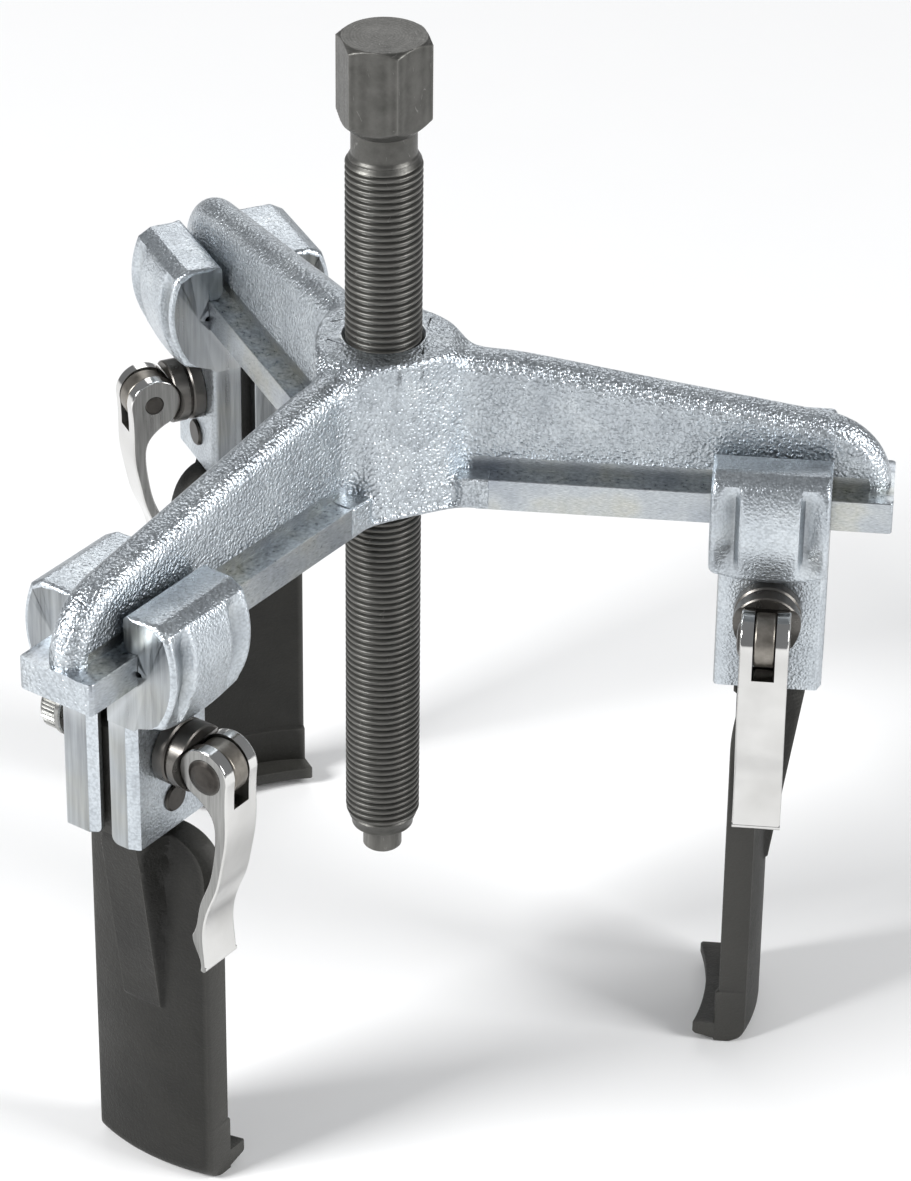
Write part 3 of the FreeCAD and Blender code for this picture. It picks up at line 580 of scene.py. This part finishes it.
def forging_sector(settings):
    """A sixth part of the forging, half an arm: sections at right angles to the arm, then fanning
    round the bore. Each section runs flat top, round, wall with flare, relief, ledge, side and
    bottom, from the middle plane outwards and back to it.
    """
    line = web_top_line()
    turn = np.radians(TURN_DEGREES[1:])
    bore = BORE_MOUTH * np.stack([np.cos(turn), np.sin(turn)], -1)
    heading = math.pi / 2 - np.concatenate([0 * line[:, 0], turn / 2])
    direction = np.stack([np.cos(heading), np.sin(heading)], -1)
    crest_r = settings.web_half
    lean = line[:, 2] * smooth(*LEANING, line[:, 0])
    wall_x = line[:, 0] - lean * crest_r
    origin = np.concatenate([np.stack([wall_x, 0 * wall_x], -1), bore])
    lean = np.concatenate([lean, 0 * turn])
    rise = np.concatenate([line[:, 3], 0 * turn + 1.0])
    out_x = np.concatenate([line[:, 0], 0 * turn + BORE_MOUTH])
    crest_z = np.concatenate([line[:, 1], 0 * turn + HUB_TOP])

    upper = outline_distance(origin, direction, crest_r, settings.hub_radius,
                             settings.corner_round)
    lower = outline_distance(origin, direction, RAIL_HALF + FOOT_SPARE, settings.foot_radius,
                             FOOT_CORNER)
    arm = smooth(*ARM_BEGINS, out_x)
    milled = smooth(*MILLED_BEGINS, out_x)
    edge = RIM_ROUND + (crest_r - RIM_ROUND) * smooth(*ROUND_GROWS, out_x)
    edge = np.minimum(edge, upper)
    columns = []

    def put(distance, height, machined=0.0, shift=0.0):
        """One column: its distance along the heading, its height, and its shift along the arm."""
        x, y = (origin + direction * distance[:, None]).T
        columns.append(grid_of(x + shift, y, height, machined))

    def crest_height(distance):
        """The crest's line on the nose; inward the falling ridge with its saddle and the hub."""
        x, y = (origin + direction * distance[:, None]).T
        (near_x, near_z), (far_x, far_z) = WEB_LINE
        ridge = near_z + (x - near_x) * (far_z - near_z) / (far_x - near_x)
        ridge = ridge - SADDLE_DEEP * np.exp(-((x - SADDLE_AT) / SADDLE_WIDE) ** 2)
        ring = 1.0 - smooth(*HUB_RING, np.hypot(x, y))
        return np.where(out_x > NOSE_FROM, crest_z, ridge + (HUB_TOP - ridge) * ring)

    def flared(height):
        """The wall's distance: the hub flares to its foot, and the web spreads a little."""
        share = np.clip((FLARE_TOP - height) / (FLARE_TOP - BEAM_BOTTOM), 0.0, 1.0)
        hub_wall = upper + (lower - upper) * share ** FLARE_POWER
        web_wall = upper + WEB_SPREAD * share * (1 - smooth(*SPREAD_ENDS, out_x))
        return hub_wall * (1 - arm) + web_wall * arm

    for share in np.linspace(0.0, 1.0, 6):
        distance = (upper - edge) * share
        put(distance, crest_height(distance), shift=lean * edge)
    for angle in np.radians(np.linspace(0.0, 90.0, 11)[1:]):
        distance = upper - edge + edge * math.sin(angle)
        fall = edge * (1 - math.cos(angle)) * rise
        put(distance, crest_height(distance) - fall, shift=lean * edge * math.cos(angle))

    wall_top = columns[-1][:, 2]
    foot = np.minimum(RELIEF_TOP, wall_top)
    for share in np.linspace(0.0, 1.0, 16)[1:]:
        height = wall_top + (foot - wall_top) * share
        put(flared(height), height)

    relief = RELIEF_DEPTH * arm
    inset = HIDDEN * smooth(FORGED_END, FORGED_END + 0.6, out_x)
    ledge = np.minimum(RAIL_TOP, foot - 0.1) - inset
    side, side_top = lower - inset, ledge - LEDGE_DROP * (1 - arm)
    wall_in = flared(ledge) - relief
    wall_out = flared(side_top) * (1 - arm) + side * arm
    put(flared(foot) - relief, foot - 0.12 * arm, milled)
    put(wall_in, ledge, milled)
    put(wall_in + LEDGE_STEP * arm, ledge, milled)
    for share in (0.33, 0.66, 0.93):
        put(wall_in + (wall_out - wall_in) * share, ledge + (side_top - ledge) * share,
            0.5 * milled)

    side_top = side_top - SIDE_STEP * arm
    bottom = BEAM_BOTTOM + inset
    put(wall_out, side_top)
    for share in (0.3, 0.6, 0.85):
        height = side_top + (bottom + BOTTOM_ROUND - side_top) * share
        put(flared(height) * (1 - arm) + side * arm, height)
    for cut, above in ((0.0, BOTTOM_ROUND), (0.35, 0.35), (BOTTOM_ROUND, 0.0)):
        put(side - cut, bottom + above)
    for share in (0.6, 0.3, 0.0):
        put((side - BOTTOM_ROUND) * share, bottom)

    grid = np.stack(columns, 1)
    sunk = grid[0].copy()
    sunk[:, 2] = np.minimum(sunk[:, 2], RAIL_TOP - HIDDEN)
    pole = sunk * 0 + [sunk[0, 0] - LEDGE_DROP, 0.0, RAIL_TOP - LEDGE_DROP, 0.0]
    return np.concatenate([pole[None], sunk[None], grid])


def bore_surface():
    """The bore: short cones at both mouths and a plain wall, a radius carried round the axis."""
    angles = np.radians(np.concatenate([TURN_DEGREES + 60 * k for k in range(6)]))
    rim = BORE_MOUTH - BORE_R
    radius = np.array([BORE_MOUTH, BORE_R, BORE_R, BORE_R, BORE_MOUTH])
    z = np.array([HUB_TOP, HUB_TOP - rim, BORE_MIDDLE, BEAM_BOTTOM + rim, BEAM_BOTTOM])
    return around(radius[:, None], angles, z[:, None], 1.0)


def rail_surface():
    """The milled rail of an arm: a closed section with small chamfers and slightly dished ledges,
    carried along the arm; its end corners are rounded and its end face is left as forged.
    """
    y, dish = np.array(RAIL_DISH).T
    half = np.concatenate([np.stack([y, RAIL_TOP - dish], -1),
                           [[RAIL_HALF, RAIL_TOP - 0.22], [RAIL_HALF, 131.0],
                            [RAIL_HALF, BEAM_BOTTOM + 0.3], [RAIL_HALF - 0.3, BEAM_BOTTOM],
                            [6.0, BEAM_BOTTOM]]])
    loop = np.concatenate([half, half[::-1] * [-1, 1]])
    rounding = RAIL_END - RAIL_ROUND
    stations = np.concatenate([[RAIL_START], np.linspace(34.0, 145.0, 20),
                               np.linspace(rounding, RAIL_END - END_STEP, 6)])
    shrink = RAIL_ROUND * quarter((stations - rounding) / RAIL_ROUND) / RAIL_HALF
    grid = grid_of(stations[:, None], loop[:, 0] * (1 - shrink[:, None]), loop[:, 1], 1.0)
    face = grid[-1] * [1.0, 0.997, 1.0, 0.0] + [END_STEP, 0.0, 0.0, 0.0]
    middle = face * 0 + face.mean(0)
    ring = (face + middle) / 2
    start = grid[0] * 0 + grid[0].mean(0)
    return np.concatenate([start[None], grid, face[None], ring[None], middle[None]])


class PULLER_OT_crossbeam(bpy.types.Operator):
    """Builds the three-armed forging: hub, webs, milled rails and bore"""
    bl_idname = "puller.crossbeam"
    bl_label = "Crossbeam"

    def execute(self, context):
        sector = forging_sector(context.scene.puller_crossbeam)
        mirrored = sector * [1.0, -1.0, 1.0, 1.0]
        parts = [(bore_surface(), "ring")]
        for name in ARM_NAMES:
            angle, _ = arm_frame(name)
            for grid, form in ((sector, "sheet"), (mirrored, "sheet"), (rail_surface(), "ring")):
                parts.append((turned_about_z(grid, angle), form))
        finish = zinc_finish("zinc_beam", (1.0, 1.0, 12.0), 1050.0, 0.00032, 1.28, 1.0)
        add_piece("crossbeam_forging", "crossbeam", "crossbeam", finish, BEAM_SHARP,
                  parts)
        return {"FINISHED"}


# ---- cheeks

class PULLER_PG_cheeks(bpy.types.PropertyGroup):
    scoop_depth: FloatProperty(
        name="Scoop depth", description="Depth of the finger scoops in millimetres",
        default=3.1, min=0.0, max=4.0)
    panel_half: FloatProperty(
        name="Panel half", description="Half the flat panel's width in millimetres",
        default=8.0, min=2.0, max=12.0)
    end_round: FloatProperty(
        name="End round", description="Rounding of the head's ends in millimetres",
        default=1.7, min=0.2, max=4.0)


HEAD_IN, HEAD_OUT, PLATE_IN = -17.4, 16.4, -14.9
POCKET = (-10.6, 13.8, 6.85)
PLATE_FOOT, HEAD_JOINT, FOOT_ROUND = 71.0, 111.0, 2.4
FIT = 0.15
# points of the head's section, as (across, up), each further out by the head's growth
SHOULDER = ((18.6, 147.15), (19.1, 147.0), (22.7, 144.9))
CROWN = ((23.0, 144.6), (25.6, 131.5), (21.3, 116.2))
CROWN_FOOT = ((21.3, 116.2), (20.6, 114.8), (18.9, 113.9))
# ranges across (y) and up (z) over which a part of the section fades in
OUTER_Y, OUTER_Z, LIP_Y, LIP_Z = (15.0, 19.0), (112.5, 114.5), (9.0, 12.0), (141.0, 146.0)
SCOOP_Y, SCOOP_LOW_Z, SCOOP_HIGH_Z = (17.0, 19.0), (114.5, 122.0), (139.5, 144.6)
FOOT_Z = (113.0, 121.0)
STRIP_DEPTH, STRIP_WIDTH = 1.2, 3.3
END_FACE_STEP = 0.015
CHEEK_SHARP = 32.0
# of each kind: its bodies' prefix, its plate's inner and outer face, its head's growth, whether the
# strip is on the inner corner, and the side it lies on, +1 for the lever's
CHEEKS = {"lever_cheek": ("cheek_", 1.5, 10.8, 0.0, False, 1.0),
          "nut_cheek": ("slider_", 3.0, 14.6, 1.9, True, -1.0)}


def head_loop(inner, outer, growth):
    """The head's section across the arm: lip over the rail, notch, crowned outer side and foot."""
    def grown(points):
        return [(y + growth, z) for y, z in points]

    rail, hook, under = RAIL_HALF + FIT, RAIL_TOP + FIT, BEAM_BOTTOM - FIT
    parts = [arc((9.7, 145.5), 1.5, 180, 90, 6), grown(SHOULDER), through(*grown(CROWN), 16),
             through(*grown(CROWN_FOOT), 6)[1:],
             [(outer + 1.6, 112.4), (outer + 0.5, 111.7), (outer, HEAD_JOINT), (inner, HEAD_JOINT),
              (inner, under - 0.6), (inner + 0.6, under), (rail, under)],
             arc((rail, 129.6), 1.3, -90, 90, 9),
             [(rail, hook + 0.3), (rail - 0.3, hook)], arc((10.4, hook + 2.2), 2.2, 270, 180, 7)]
    return even_loop(np.concatenate(parts), 2.2)


def through(first, middle, last, count):
    """Points on the arc that passes through three points, its centre found with complex numbers."""
    a, b, c = (complex(*p) for p in (first, middle, last))
    w = (c - a) / (b - a)
    centre = a - (a - b) * (w - abs(w) ** 2) / (2j * w.imag)
    start, end = (math.atan2((p - centre).imag, (p - centre).real) for p in (a, c))
    turn = (end - start + math.pi) % (2 * math.pi) - math.pi
    t = start + turn * np.linspace(0, 1, count)
    radius = abs(a - centre)
    return np.stack([centre.real + radius * np.cos(t), centre.imag + radius * np.sin(t)], -1)


def outward_normals(loop):
    """Unit normals of a closed loop, pointing away from its middle."""
    tangent = np.roll(loop, -1, 0) - np.roll(loop, 1, 0)
    normal = np.stack([-tangent[:, 1], tangent[:, 0]], -1)
    normal /= np.linalg.norm(normal, axis=1)[:, None]
    return normal * np.sign(((loop - loop.mean(0)) * normal).sum(1).mean())


def cheek_head(settings, inner, outer, growth):
    """The section carried along the arm. Its outer side is drawn in at both ends by a quarter
    round, and between the flat panel and each end it sinks in a scoop: steep beside the panel,
    shallow towards the end, and fading out above and below. The foot hangs lower in the middle.
    """
    loop = head_loop(inner, outer, growth)
    y, z = loop.T
    reach = settings.end_round
    ends = reach * (1 - np.cos(np.radians(np.linspace(90, 0, 7))))
    stations = np.concatenate([HEAD_IN + ends[::-1],
                               np.linspace(HEAD_IN + reach, HEAD_OUT - reach, 46)[1:-1],
                               HEAD_OUT - ends])
    length = (HEAD_OUT - HEAD_IN) / 2
    off = np.abs(stations - (HEAD_IN + HEAD_OUT) / 2)
    drawn_in = reach * quarter((off - (length - reach)) / reach)
    outside = smooth(*OUTER_Y, y) * smooth(*OUTER_Z, z)
    upper = smooth(*LIP_Y, y) * smooth(*LIP_Z, z)
    scooped = smooth(settings.panel_half, settings.panel_half + 2.0, off)
    scooped = scooped * (1 - smooth(settings.panel_half + 1.6, length - 0.2, off))
    window = smooth(*SCOOP_LOW_Z, z) * (1 - smooth(*SCOOP_HIGH_Z, z)) * smooth(*SCOOP_Y, y)
    scoop = scooped[:, None] * window[None, :]
    push = -drawn_in[:, None] * np.maximum(outside, 0.6 * upper) - settings.scoop_depth * scoop
    across, up = np.moveaxis(loop + outward_normals(loop) * push[..., None], -1, 0)
    foot = (1 - smooth(*FOOT_Z, z)) * smooth(outer + 1.0, outer + 5.0, y)
    up = up + foot * (2.6 * (off[:, None] / length) ** 2 - 2.2)
    fitted = (y < RAIL_HALF + 2.0) & (z < 140.0)
    grid = grid_of(stations[:, None], across, up, np.maximum(fitted, 0.7 * scoop))
    faces = []
    for row, step in ((grid[0], -END_FACE_STEP), (grid[-1], END_FACE_STEP)):
        face = row * [1.0, 1.0, 1.0, 0.0] + [step, 0.0, 0.0, 1.0]
        faces.append((face[None], face[None] * 0 + [face[0, 0], 16.0, 130.0, 1.0]))
    return np.concatenate([faces[0][1], faces[0][0], grid, faces[1][0], faces[1][1]])


def cheek_plate(inner, outer, strip_inside):
    """The plate below the head: a plan outline with the leg's pocket, carried down; the lower inner
    edge is rounded, and a forged strip runs down one corner of the outward end.
    """
    low_in, low_out, pocket = POCKET
    sunk, by_edge = HEAD_OUT - STRIP_DEPTH, HEAD_OUT - 0.05
    if strip_inside:
        edge = inner + STRIP_WIDTH
        end = [(sunk, inner, 0), (by_edge, edge, 0), (HEAD_OUT, edge, 1),
               (HEAD_OUT, outer - 0.4, 1), (HEAD_OUT - 0.4, outer, 0)]
    else:
        edge = outer - STRIP_WIDTH
        end = [(HEAD_OUT - 0.3, inner, 1), (HEAD_OUT, inner + 0.3, 1), (HEAD_OUT, edge, 1),
               (by_edge, edge, 0), (sunk, outer - 0.4, 0), (sunk - 0.5, outer, 0)]
    outline = [(PLATE_IN, inner + 0.3, 1), (PLATE_IN + 0.3, inner, 1), (low_in, inner, 1),
               (low_in, pocket, 1), (low_out, pocket, 1), (low_out, inner, 1)] + end
    outline += [(x, outer, 0) for x in np.linspace(HEAD_OUT - 3.0, PLATE_IN + 1.6, 12)]
    outline += [(PLATE_IN + 0.45, outer - 0.4, 0), (PLATE_IN, outer - 1.6, 1)]
    x, y, machined = np.array(outline).T
    rounding = FOOT_ROUND * (1 - np.cos(np.radians(np.linspace(0, 90, 7))))
    z = np.concatenate([PLATE_FOOT + rounding, np.linspace(75.0, HEAD_JOINT - 0.01, 12)])
    cut = FOOT_ROUND * quarter((PLATE_FOOT + FOOT_ROUND - z) / FOOT_ROUND)
    return grid_of(x, y + cut[:, None] * (y < inner + 0.5), z[:, None], machined)


class PULLER_OT_cheeks(bpy.types.Operator):
    """Builds the six forged cheeks that hook over the rails"""
    bl_idname = "puller.cheeks"
    bl_label = "Cheeks"

    def execute(self, context):
        settings = context.scene.puller_cheeks
        # milled shade 0.50 paints the cheeks' milled end faces darker than the beam's: painted
        # shade on a copy of the same milled zinc
        finish = zinc_finish("zinc_cheeks", (1.0, 1.0, 0.05), 1250.0, 0.00013, 1.36, 0.50)
        for kind, (body, inner, outer, growth, strip_inside, turn) in CHEEKS.items():
            head = cheek_head(settings, inner, outer, growth)
            plate = cheek_plate(inner, outer, strip_inside)
            for name in ARM_NAMES:
                side = lever_side(name) * turn
                add_piece("forged_" + kind + "_" + name, body + name,
                          kind + "_" + name, finish, CHEEK_SHARP,
                          [(along_arm(head, name, side), "ring"),
                           (along_arm(plate, name, side), "tube")])
        return {"FINISHED"}


# ---- legs

class PULLER_PG_legs(bpy.types.PropertyGroup):
    half_width: FloatProperty(
        name="Half width", description="Half the blade's width in millimetres",
        default=20.9, min=10.0, max=40.0)
    thickness: FloatProperty(
        name="Thickness", description="Thickness of the blade in millimetres",
        default=7.8, min=3.0, max=15.0)
    edge_round: FloatProperty(
        name="Edge round", description="Rounding of the blade's edges in millimetres",
        default=0.9, min=0.1, max=3.0)


ARCH_R, ARCH_MID = 63.7, 2.9
HEEL_Z, HEEL_ROUND = -50.0, 4.5
SHOULDER_TOP, SHOULDER_START, SHOULDER_HALF, SHOULDER_POWER = 69.5, 54.0, 8.2, 2.2
TANG_HALF, TANG_IN, TANG_OUT, TANG_TOP, TANG_CORNER = 6.7, -8.9, 12.1, 108.0, 0.6
TANG_FOOT, TANG_SINKS, TANG_LEAN = 62.0, 66.0, 0.22
STRIP_FOOT, STRIP_ZERO, STRIP_RUN_OUT, STRIP_FLANK, STRIP_FILLET = 9.0, 4.0, 1.1, 3.2, 0.5
SEAM = 0.06
STEP_Z, STEP_PROUD = -31.5, 1.0
TOE_TOP, TOE_TIP, TOE_REACH, TOE_HOLLOW_R, TOE_HOLLOW = -43.7, -47.5, -16.3, 77.8, 3.0
LEG_SHARP = 34.0


def arch(across, radius):
    """Height of the arched blade's surface over the bolt's plane, for a radius about its axis."""
    return ARCH_MID - ARCH_R + np.sqrt(radius ** 2 - across ** 2)


def out_and_back(near, far, y, z):
    """Closed loops that run across on the near surface and back on the far one."""
    return np.concatenate([grid_of(near, y, z, 0.0), grid_of(far, y, z, 0.0)[:, ::-1]], 1)


def leg_blade(settings):
    """The blade: at each height a closed plan loop of arched outer face, rounded edges and inner
    face. The outer face is raised by the sloping strip below the tang; the heel and the shoulders
    are rounded.
    """
    shoulder = SHOULDER_TOP - SHOULDER_START
    z = np.concatenate([HEEL_Z + HEEL_ROUND * (1 - np.cos(np.radians(np.linspace(8, 90, 9)))),
                        np.linspace(-44.0, -32.6, 7), [-32.3, -31.9, -31.5, -31.0],
                        np.linspace(-29.0, STRIP_FOOT - 2.5, 16),
                        np.linspace(STRIP_FOOT - 1.6, STRIP_FOOT + 2.0, 8),
                        np.linspace(13.0, 53.0, 22),
                        SHOULDER_START + shoulder * np.sin(np.radians(np.linspace(3, 90, 14)))])
    z = z[:, None]
    rise = np.clip((z - SHOULDER_START) / shoulder, 0, 1)
    narrowing = np.sqrt(np.clip(1 - rise ** SHOULDER_POWER, 0, 1))
    width = SHOULDER_HALF + (settings.half_width - SHOULDER_HALF) * narrowing
    right = np.concatenate([np.linspace(0.26, 0.39, 8), np.linspace(0.42, 0.97, 9), [1.0]])
    y = np.concatenate([-right[::-1], np.linspace(-0.2, 0.2, 5), right]) * width

    arched = arch(y, ARCH_R)
    strip = ARCH_MID + (TANG_OUT - ARCH_MID) / (SHOULDER_TOP - STRIP_ZERO) * (z - STRIP_ZERO)
    strip = strip - STRIP_RUN_OUT * np.maximum(STRIP_FOOT - z, 0.0)
    raised = strip - STRIP_FLANK * np.maximum(np.abs(y) - TANG_HALF, 0.0)
    fillet = 0.35 * STRIP_FILLET * np.exp(-np.abs(arched - raised) / STRIP_FILLET)
    outer = np.maximum(arched, raised) + fillet * smooth(0.0, 6.0, z)
    heel = HEEL_ROUND * quarter((HEEL_Z + HEEL_ROUND - z) / HEEL_ROUND)
    r = settings.edge_round
    edge = r * quarter((np.abs(y) - (width - r)) / r)
    step = STEP_PROUD * (1 - smooth(STEP_Z - 0.9, STEP_Z, z))
    inner = arch(y, ARCH_R - settings.thickness) - step + 0.7 * edge
    return out_and_back(outer - heel - edge, inner, y, z)


def leg_tang(settings):
    """The tang between the cheeks: a bar whose plan loop is carried up and drawn in at the top."""
    near, far, half = TANG_IN + TANG_CORNER, TANG_OUT - TANG_CORNER, TANG_HALF - TANG_CORNER
    x, y = np.array([(near, -TANG_HALF), (far, -TANG_HALF), (TANG_OUT, -half), (TANG_OUT, half),
                     (far, TANG_HALF), (near, TANG_HALF), (TANG_IN, half), (TANG_IN, -half)]).T
    z = np.array([TANG_FOOT, TANG_SINKS, SHOULDER_TOP, 80.0, 92.0, TANG_TOP - 3.0, TANG_TOP - 1.5,
                  TANG_TOP - 0.4, TANG_TOP])[:, None]
    draw = np.array([0.0, 0.0, 0.0, 0.0, 0.0, 0.0, 1.5, 2.6, 3.2])[:, None]
    sunk = TANG_LEAN * (SHOULDER_TOP - np.minimum(z, SHOULDER_TOP))
    inward = np.clip((TANG_SINKS - z) / (TANG_SINKS - TANG_FOOT), 0, 1)
    blade_side = (ARCH_MID - settings.thickness + 0.5 - TANG_IN) * inward
    drawn_in = x - draw * np.sign(x - (TANG_IN + TANG_OUT) / 2)
    return grid_of(drawn_in + np.where(x > 0, -sunk, blade_side), y * (1 - 0.02 * sunk), z, 0.0)


def leg_toe(settings):
    """The toe: a plan loop with a hollow front edge, carried up; below it the underside slopes to
    the heel, and its edges are slightly rounded.
    """
    half = settings.half_width - SEAM
    y = np.concatenate([[-half], np.linspace(0.5 - half, half - 0.5, 25), [half]])
    front = TOE_REACH + TOE_HOLLOW - TOE_HOLLOW_R + np.sqrt(TOE_HOLLOW_R ** 2 - y ** 2)
    front[[0, -1]] += 0.5
    root = ARCH_MID - settings.thickness + 2.0 - y ** 2 / (2 * ARCH_R)
    z, reach = np.array([(HEEL_Z + SEAM, 0.12), (HEEL_Z + 0.4, 0.16), (TOE_TIP - 0.3, 0.93),
                         (TOE_TIP, 0.98), (TOE_TIP + 0.4, 1.0), (TOE_TOP - 0.5, 1.0),
                         (TOE_TOP - 0.14, 0.99), (TOE_TOP, 0.955)]).T[..., None]
    return out_and_back(root + (front - root) * reach, root, y, z)


class PULLER_OT_legs(bpy.types.Operator):
    """Builds the three arched legs with their tangs and hooked toes"""
    bl_idname = "puller.legs"
    bl_label = "Legs"

    def execute(self, context):
        settings = context.scene.puller_legs
        finish = dark_leg_finish()
        shells = [leg_blade(settings), leg_tang(settings), leg_toe(settings)]
        for name in ARM_NAMES:
            add_piece("forged_leg_" + name, "leg_" + name, "leg_" + name,
                      finish, LEG_SHARP, [(along_arm(shell, name), "tube") for shell in shells])
        return {"FINISHED"}


# ---- stage

class PULLER_PG_stage(bpy.types.PropertyGroup):
    key_power: FloatProperty(
        name="Key light", description="Power of the large light on the left",
        default=80.0, min=0.0, unit="POWER")
    fill_power: FloatProperty(
        name="Fill light", description="Power of the soft light on the right",
        default=38.0, min=0.0, unit="POWER")
    back_power: FloatProperty(
        name="Back light", description="Power of the wide light behind",
        default=14.0, min=0.0, unit="POWER")
    sky: FloatProperty(
        name="Room light", description="Strength of the even light from all round",
        default=0.24, min=0.0)
    floor_colour: FloatVectorProperty(
        name="Floor", description="Colour of the floor", subtype="COLOR",
        default=(0.93, 0.93, 0.93), size=3, min=0.0, max=1.0)


CAMERA_PLACE = Vector((137.4, -1186.1, 825.7)) * MM
CAMERA_LOOK = Vector((-0.08516, 0.84668, -0.52526))
CAMERA_ROLL = 0.594
CAMERA_LENS = 146.39
CAMERA_SHIFT = (0.0092, 0.0013)
SENSOR = 36.0
FLOOR_HALF, FLOOR_GAP = 6.0, 0.0002
LIGHT_AIM = (0.0, 0.0, 0.11)
LIGHTS = {"key": ((-1.9, -1.2, 1.5), (0.9, 0.9)), "fill": ((2.0, -0.6, 1.1), (0.9, 1.2)),
          "back": ((-0.1, 2.2, 1.45), (2.2, 0.9))}


def soft_light(name, place, size, power):
    """A rectangular lamp turned to the middle of the puller."""
    lamp = bpy.data.lights.new(name, "AREA")
    lamp.shape = "RECTANGLE"
    lamp.size, lamp.size_y = size
    lamp.energy = power
    light = shown(name, lamp)
    light.location = place
    light.rotation_mode = "QUATERNION"
    light.rotation_quaternion = (Vector(LIGHT_AIM) - Vector(place)).to_track_quat("-Z", "Y")


class PULLER_OT_stage(bpy.types.Operator):
    """Sets the pale floor, the soft lights and the camera"""
    bl_idname = "puller.stage"
    bl_label = "Stage"

    def execute(self, context):
        settings = context.scene.puller_stage
        z = CAD_BOX[0].z - FLOOR_GAP
        corners = [(x * FLOOR_HALF, y * FLOOR_HALF, z)
                   for x, y in ((-1, -1), (1, -1), (1, 1), (-1, 1))]
        mesh = bpy.data.meshes.new("floor")
        mesh.from_pydata(corners, [], [(0, 1, 2, 3)])
        floor = shown("floor", mesh)
        paper = Recipe("floor_paper")
        pale = tuple(settings.floor_colour)
        tone = paper.ramp(paper.noise(30.0, 2.0), shaded([(0.0, pale)], 0.99) + [(1.0, pale)])
        dress(floor, paper.finish(tone, 0.9, 0.0))

        world = context.scene.world or bpy.data.worlds.new("room")
        context.scene.world = world
        world.use_nodes = True
        sky = world.node_tree.nodes["Background"]
        sky.inputs["Color"].default_value = (0.95, 0.97, 1.0, 1.0)
        sky.inputs["Strength"].default_value = settings.sky

        for name, (place, size) in LIGHTS.items():
            soft_light(name + "_light", place, size, getattr(settings, name + "_power"))
        context.scene.view_settings.view_transform = "Standard"

        lens = bpy.data.cameras.new("camera")
        lens.sensor_fit = "AUTO"
        lens.sensor_width = SENSOR
        lens.lens = CAMERA_LENS
        lens.shift_x, lens.shift_y = CAMERA_SHIFT
        lens.clip_start, lens.clip_end = 0.05, 50.0
        camera = shown("camera", lens)
        look = CAMERA_LOOK.normalized()
        level = look.cross(Vector((0, 0, 1))).normalized()
        roll = math.radians(CAMERA_ROLL)
        right = level * math.cos(roll) + level.cross(look) * math.sin(roll)
        basis = Matrix((right, right.cross(look), -look)).transposed()
        camera.matrix_world = Matrix.Translation(CAMERA_PLACE) @ basis.to_4x4()
        context.scene.camera = camera
        return {"FINISHED"}


class PULLER_OT_hardware(bpy.types.Operator):
    """Dresses the small turned parts of the clamps, which keep their CAD shapes"""
    bl_idname = "puller.hardware"
    bl_label = "Clamp hardware"

    def execute(self, context):
        finishes = hardware_finishes()
        for arm in ARM_NAMES:
            for kind, finish in finishes.items():
                dress(NODES[kind + "_" + arm], finish)
            angle, _ = arm_frame(arm)
            dress(NODES["cam_lever_" + arm],
                  lever_finish("lever_steel_" + arm, (math.cos(angle), math.sin(angle), 0.0)))
        return {"FINISHED"}


STEPS = [PULLER_OT_stage, PULLER_OT_hardware, PULLER_OT_spindle, PULLER_OT_crossbeam,
         PULLER_OT_cheeks, PULLER_OT_legs]


class PULLER_PT_sidebar(bpy.types.Panel):
    """Lists the puller's pieces in the 3D view's sidebar"""
    bl_idname = "PULLER_PT_sidebar"
    bl_label = "Gear puller"
    bl_space_type = "VIEW_3D"
    bl_region_type = "UI"
    bl_category = "Puller"

    def draw(self, context):
        for step in STEPS:
            self.layout.operator(step.bl_idname)
        for key in GROUPS:
            box = self.layout.box()
            settings = getattr(context.scene, key)
            for entry in settings.bl_rna.properties:
                if entry.identifier not in ("rna_type", "name"):
                    box.prop(settings, entry.identifier)


GROUPS = {"puller_stage": PULLER_PG_stage, "puller_spindle": PULLER_PG_spindle,
          "puller_crossbeam": PULLER_PG_crossbeam, "puller_cheeks": PULLER_PG_cheeks,
          "puller_legs": PULLER_PG_legs}


CLASSES = (*GROUPS.values(), *STEPS, PULLER_PT_sidebar)


def register():
    for cls in CLASSES:
        bpy.utils.register_class(cls)
    for key, group in GROUPS.items():
        setattr(bpy.types.Scene, key, PointerProperty(type=group))


def unregister():
    for key in GROUPS:
        delattr(bpy.types.Scene, key)
    for cls in reversed(CLASSES):
        bpy.utils.unregister_class(cls)


def main():
    register()
    bpy.ops.puller.stage()
    bpy.ops.puller.hardware()
    bpy.ops.puller.spindle()
    bpy.ops.puller.crossbeam()
    bpy.ops.puller.cheeks()
    bpy.ops.puller.legs()


if __name__ == "__main__":
    main()
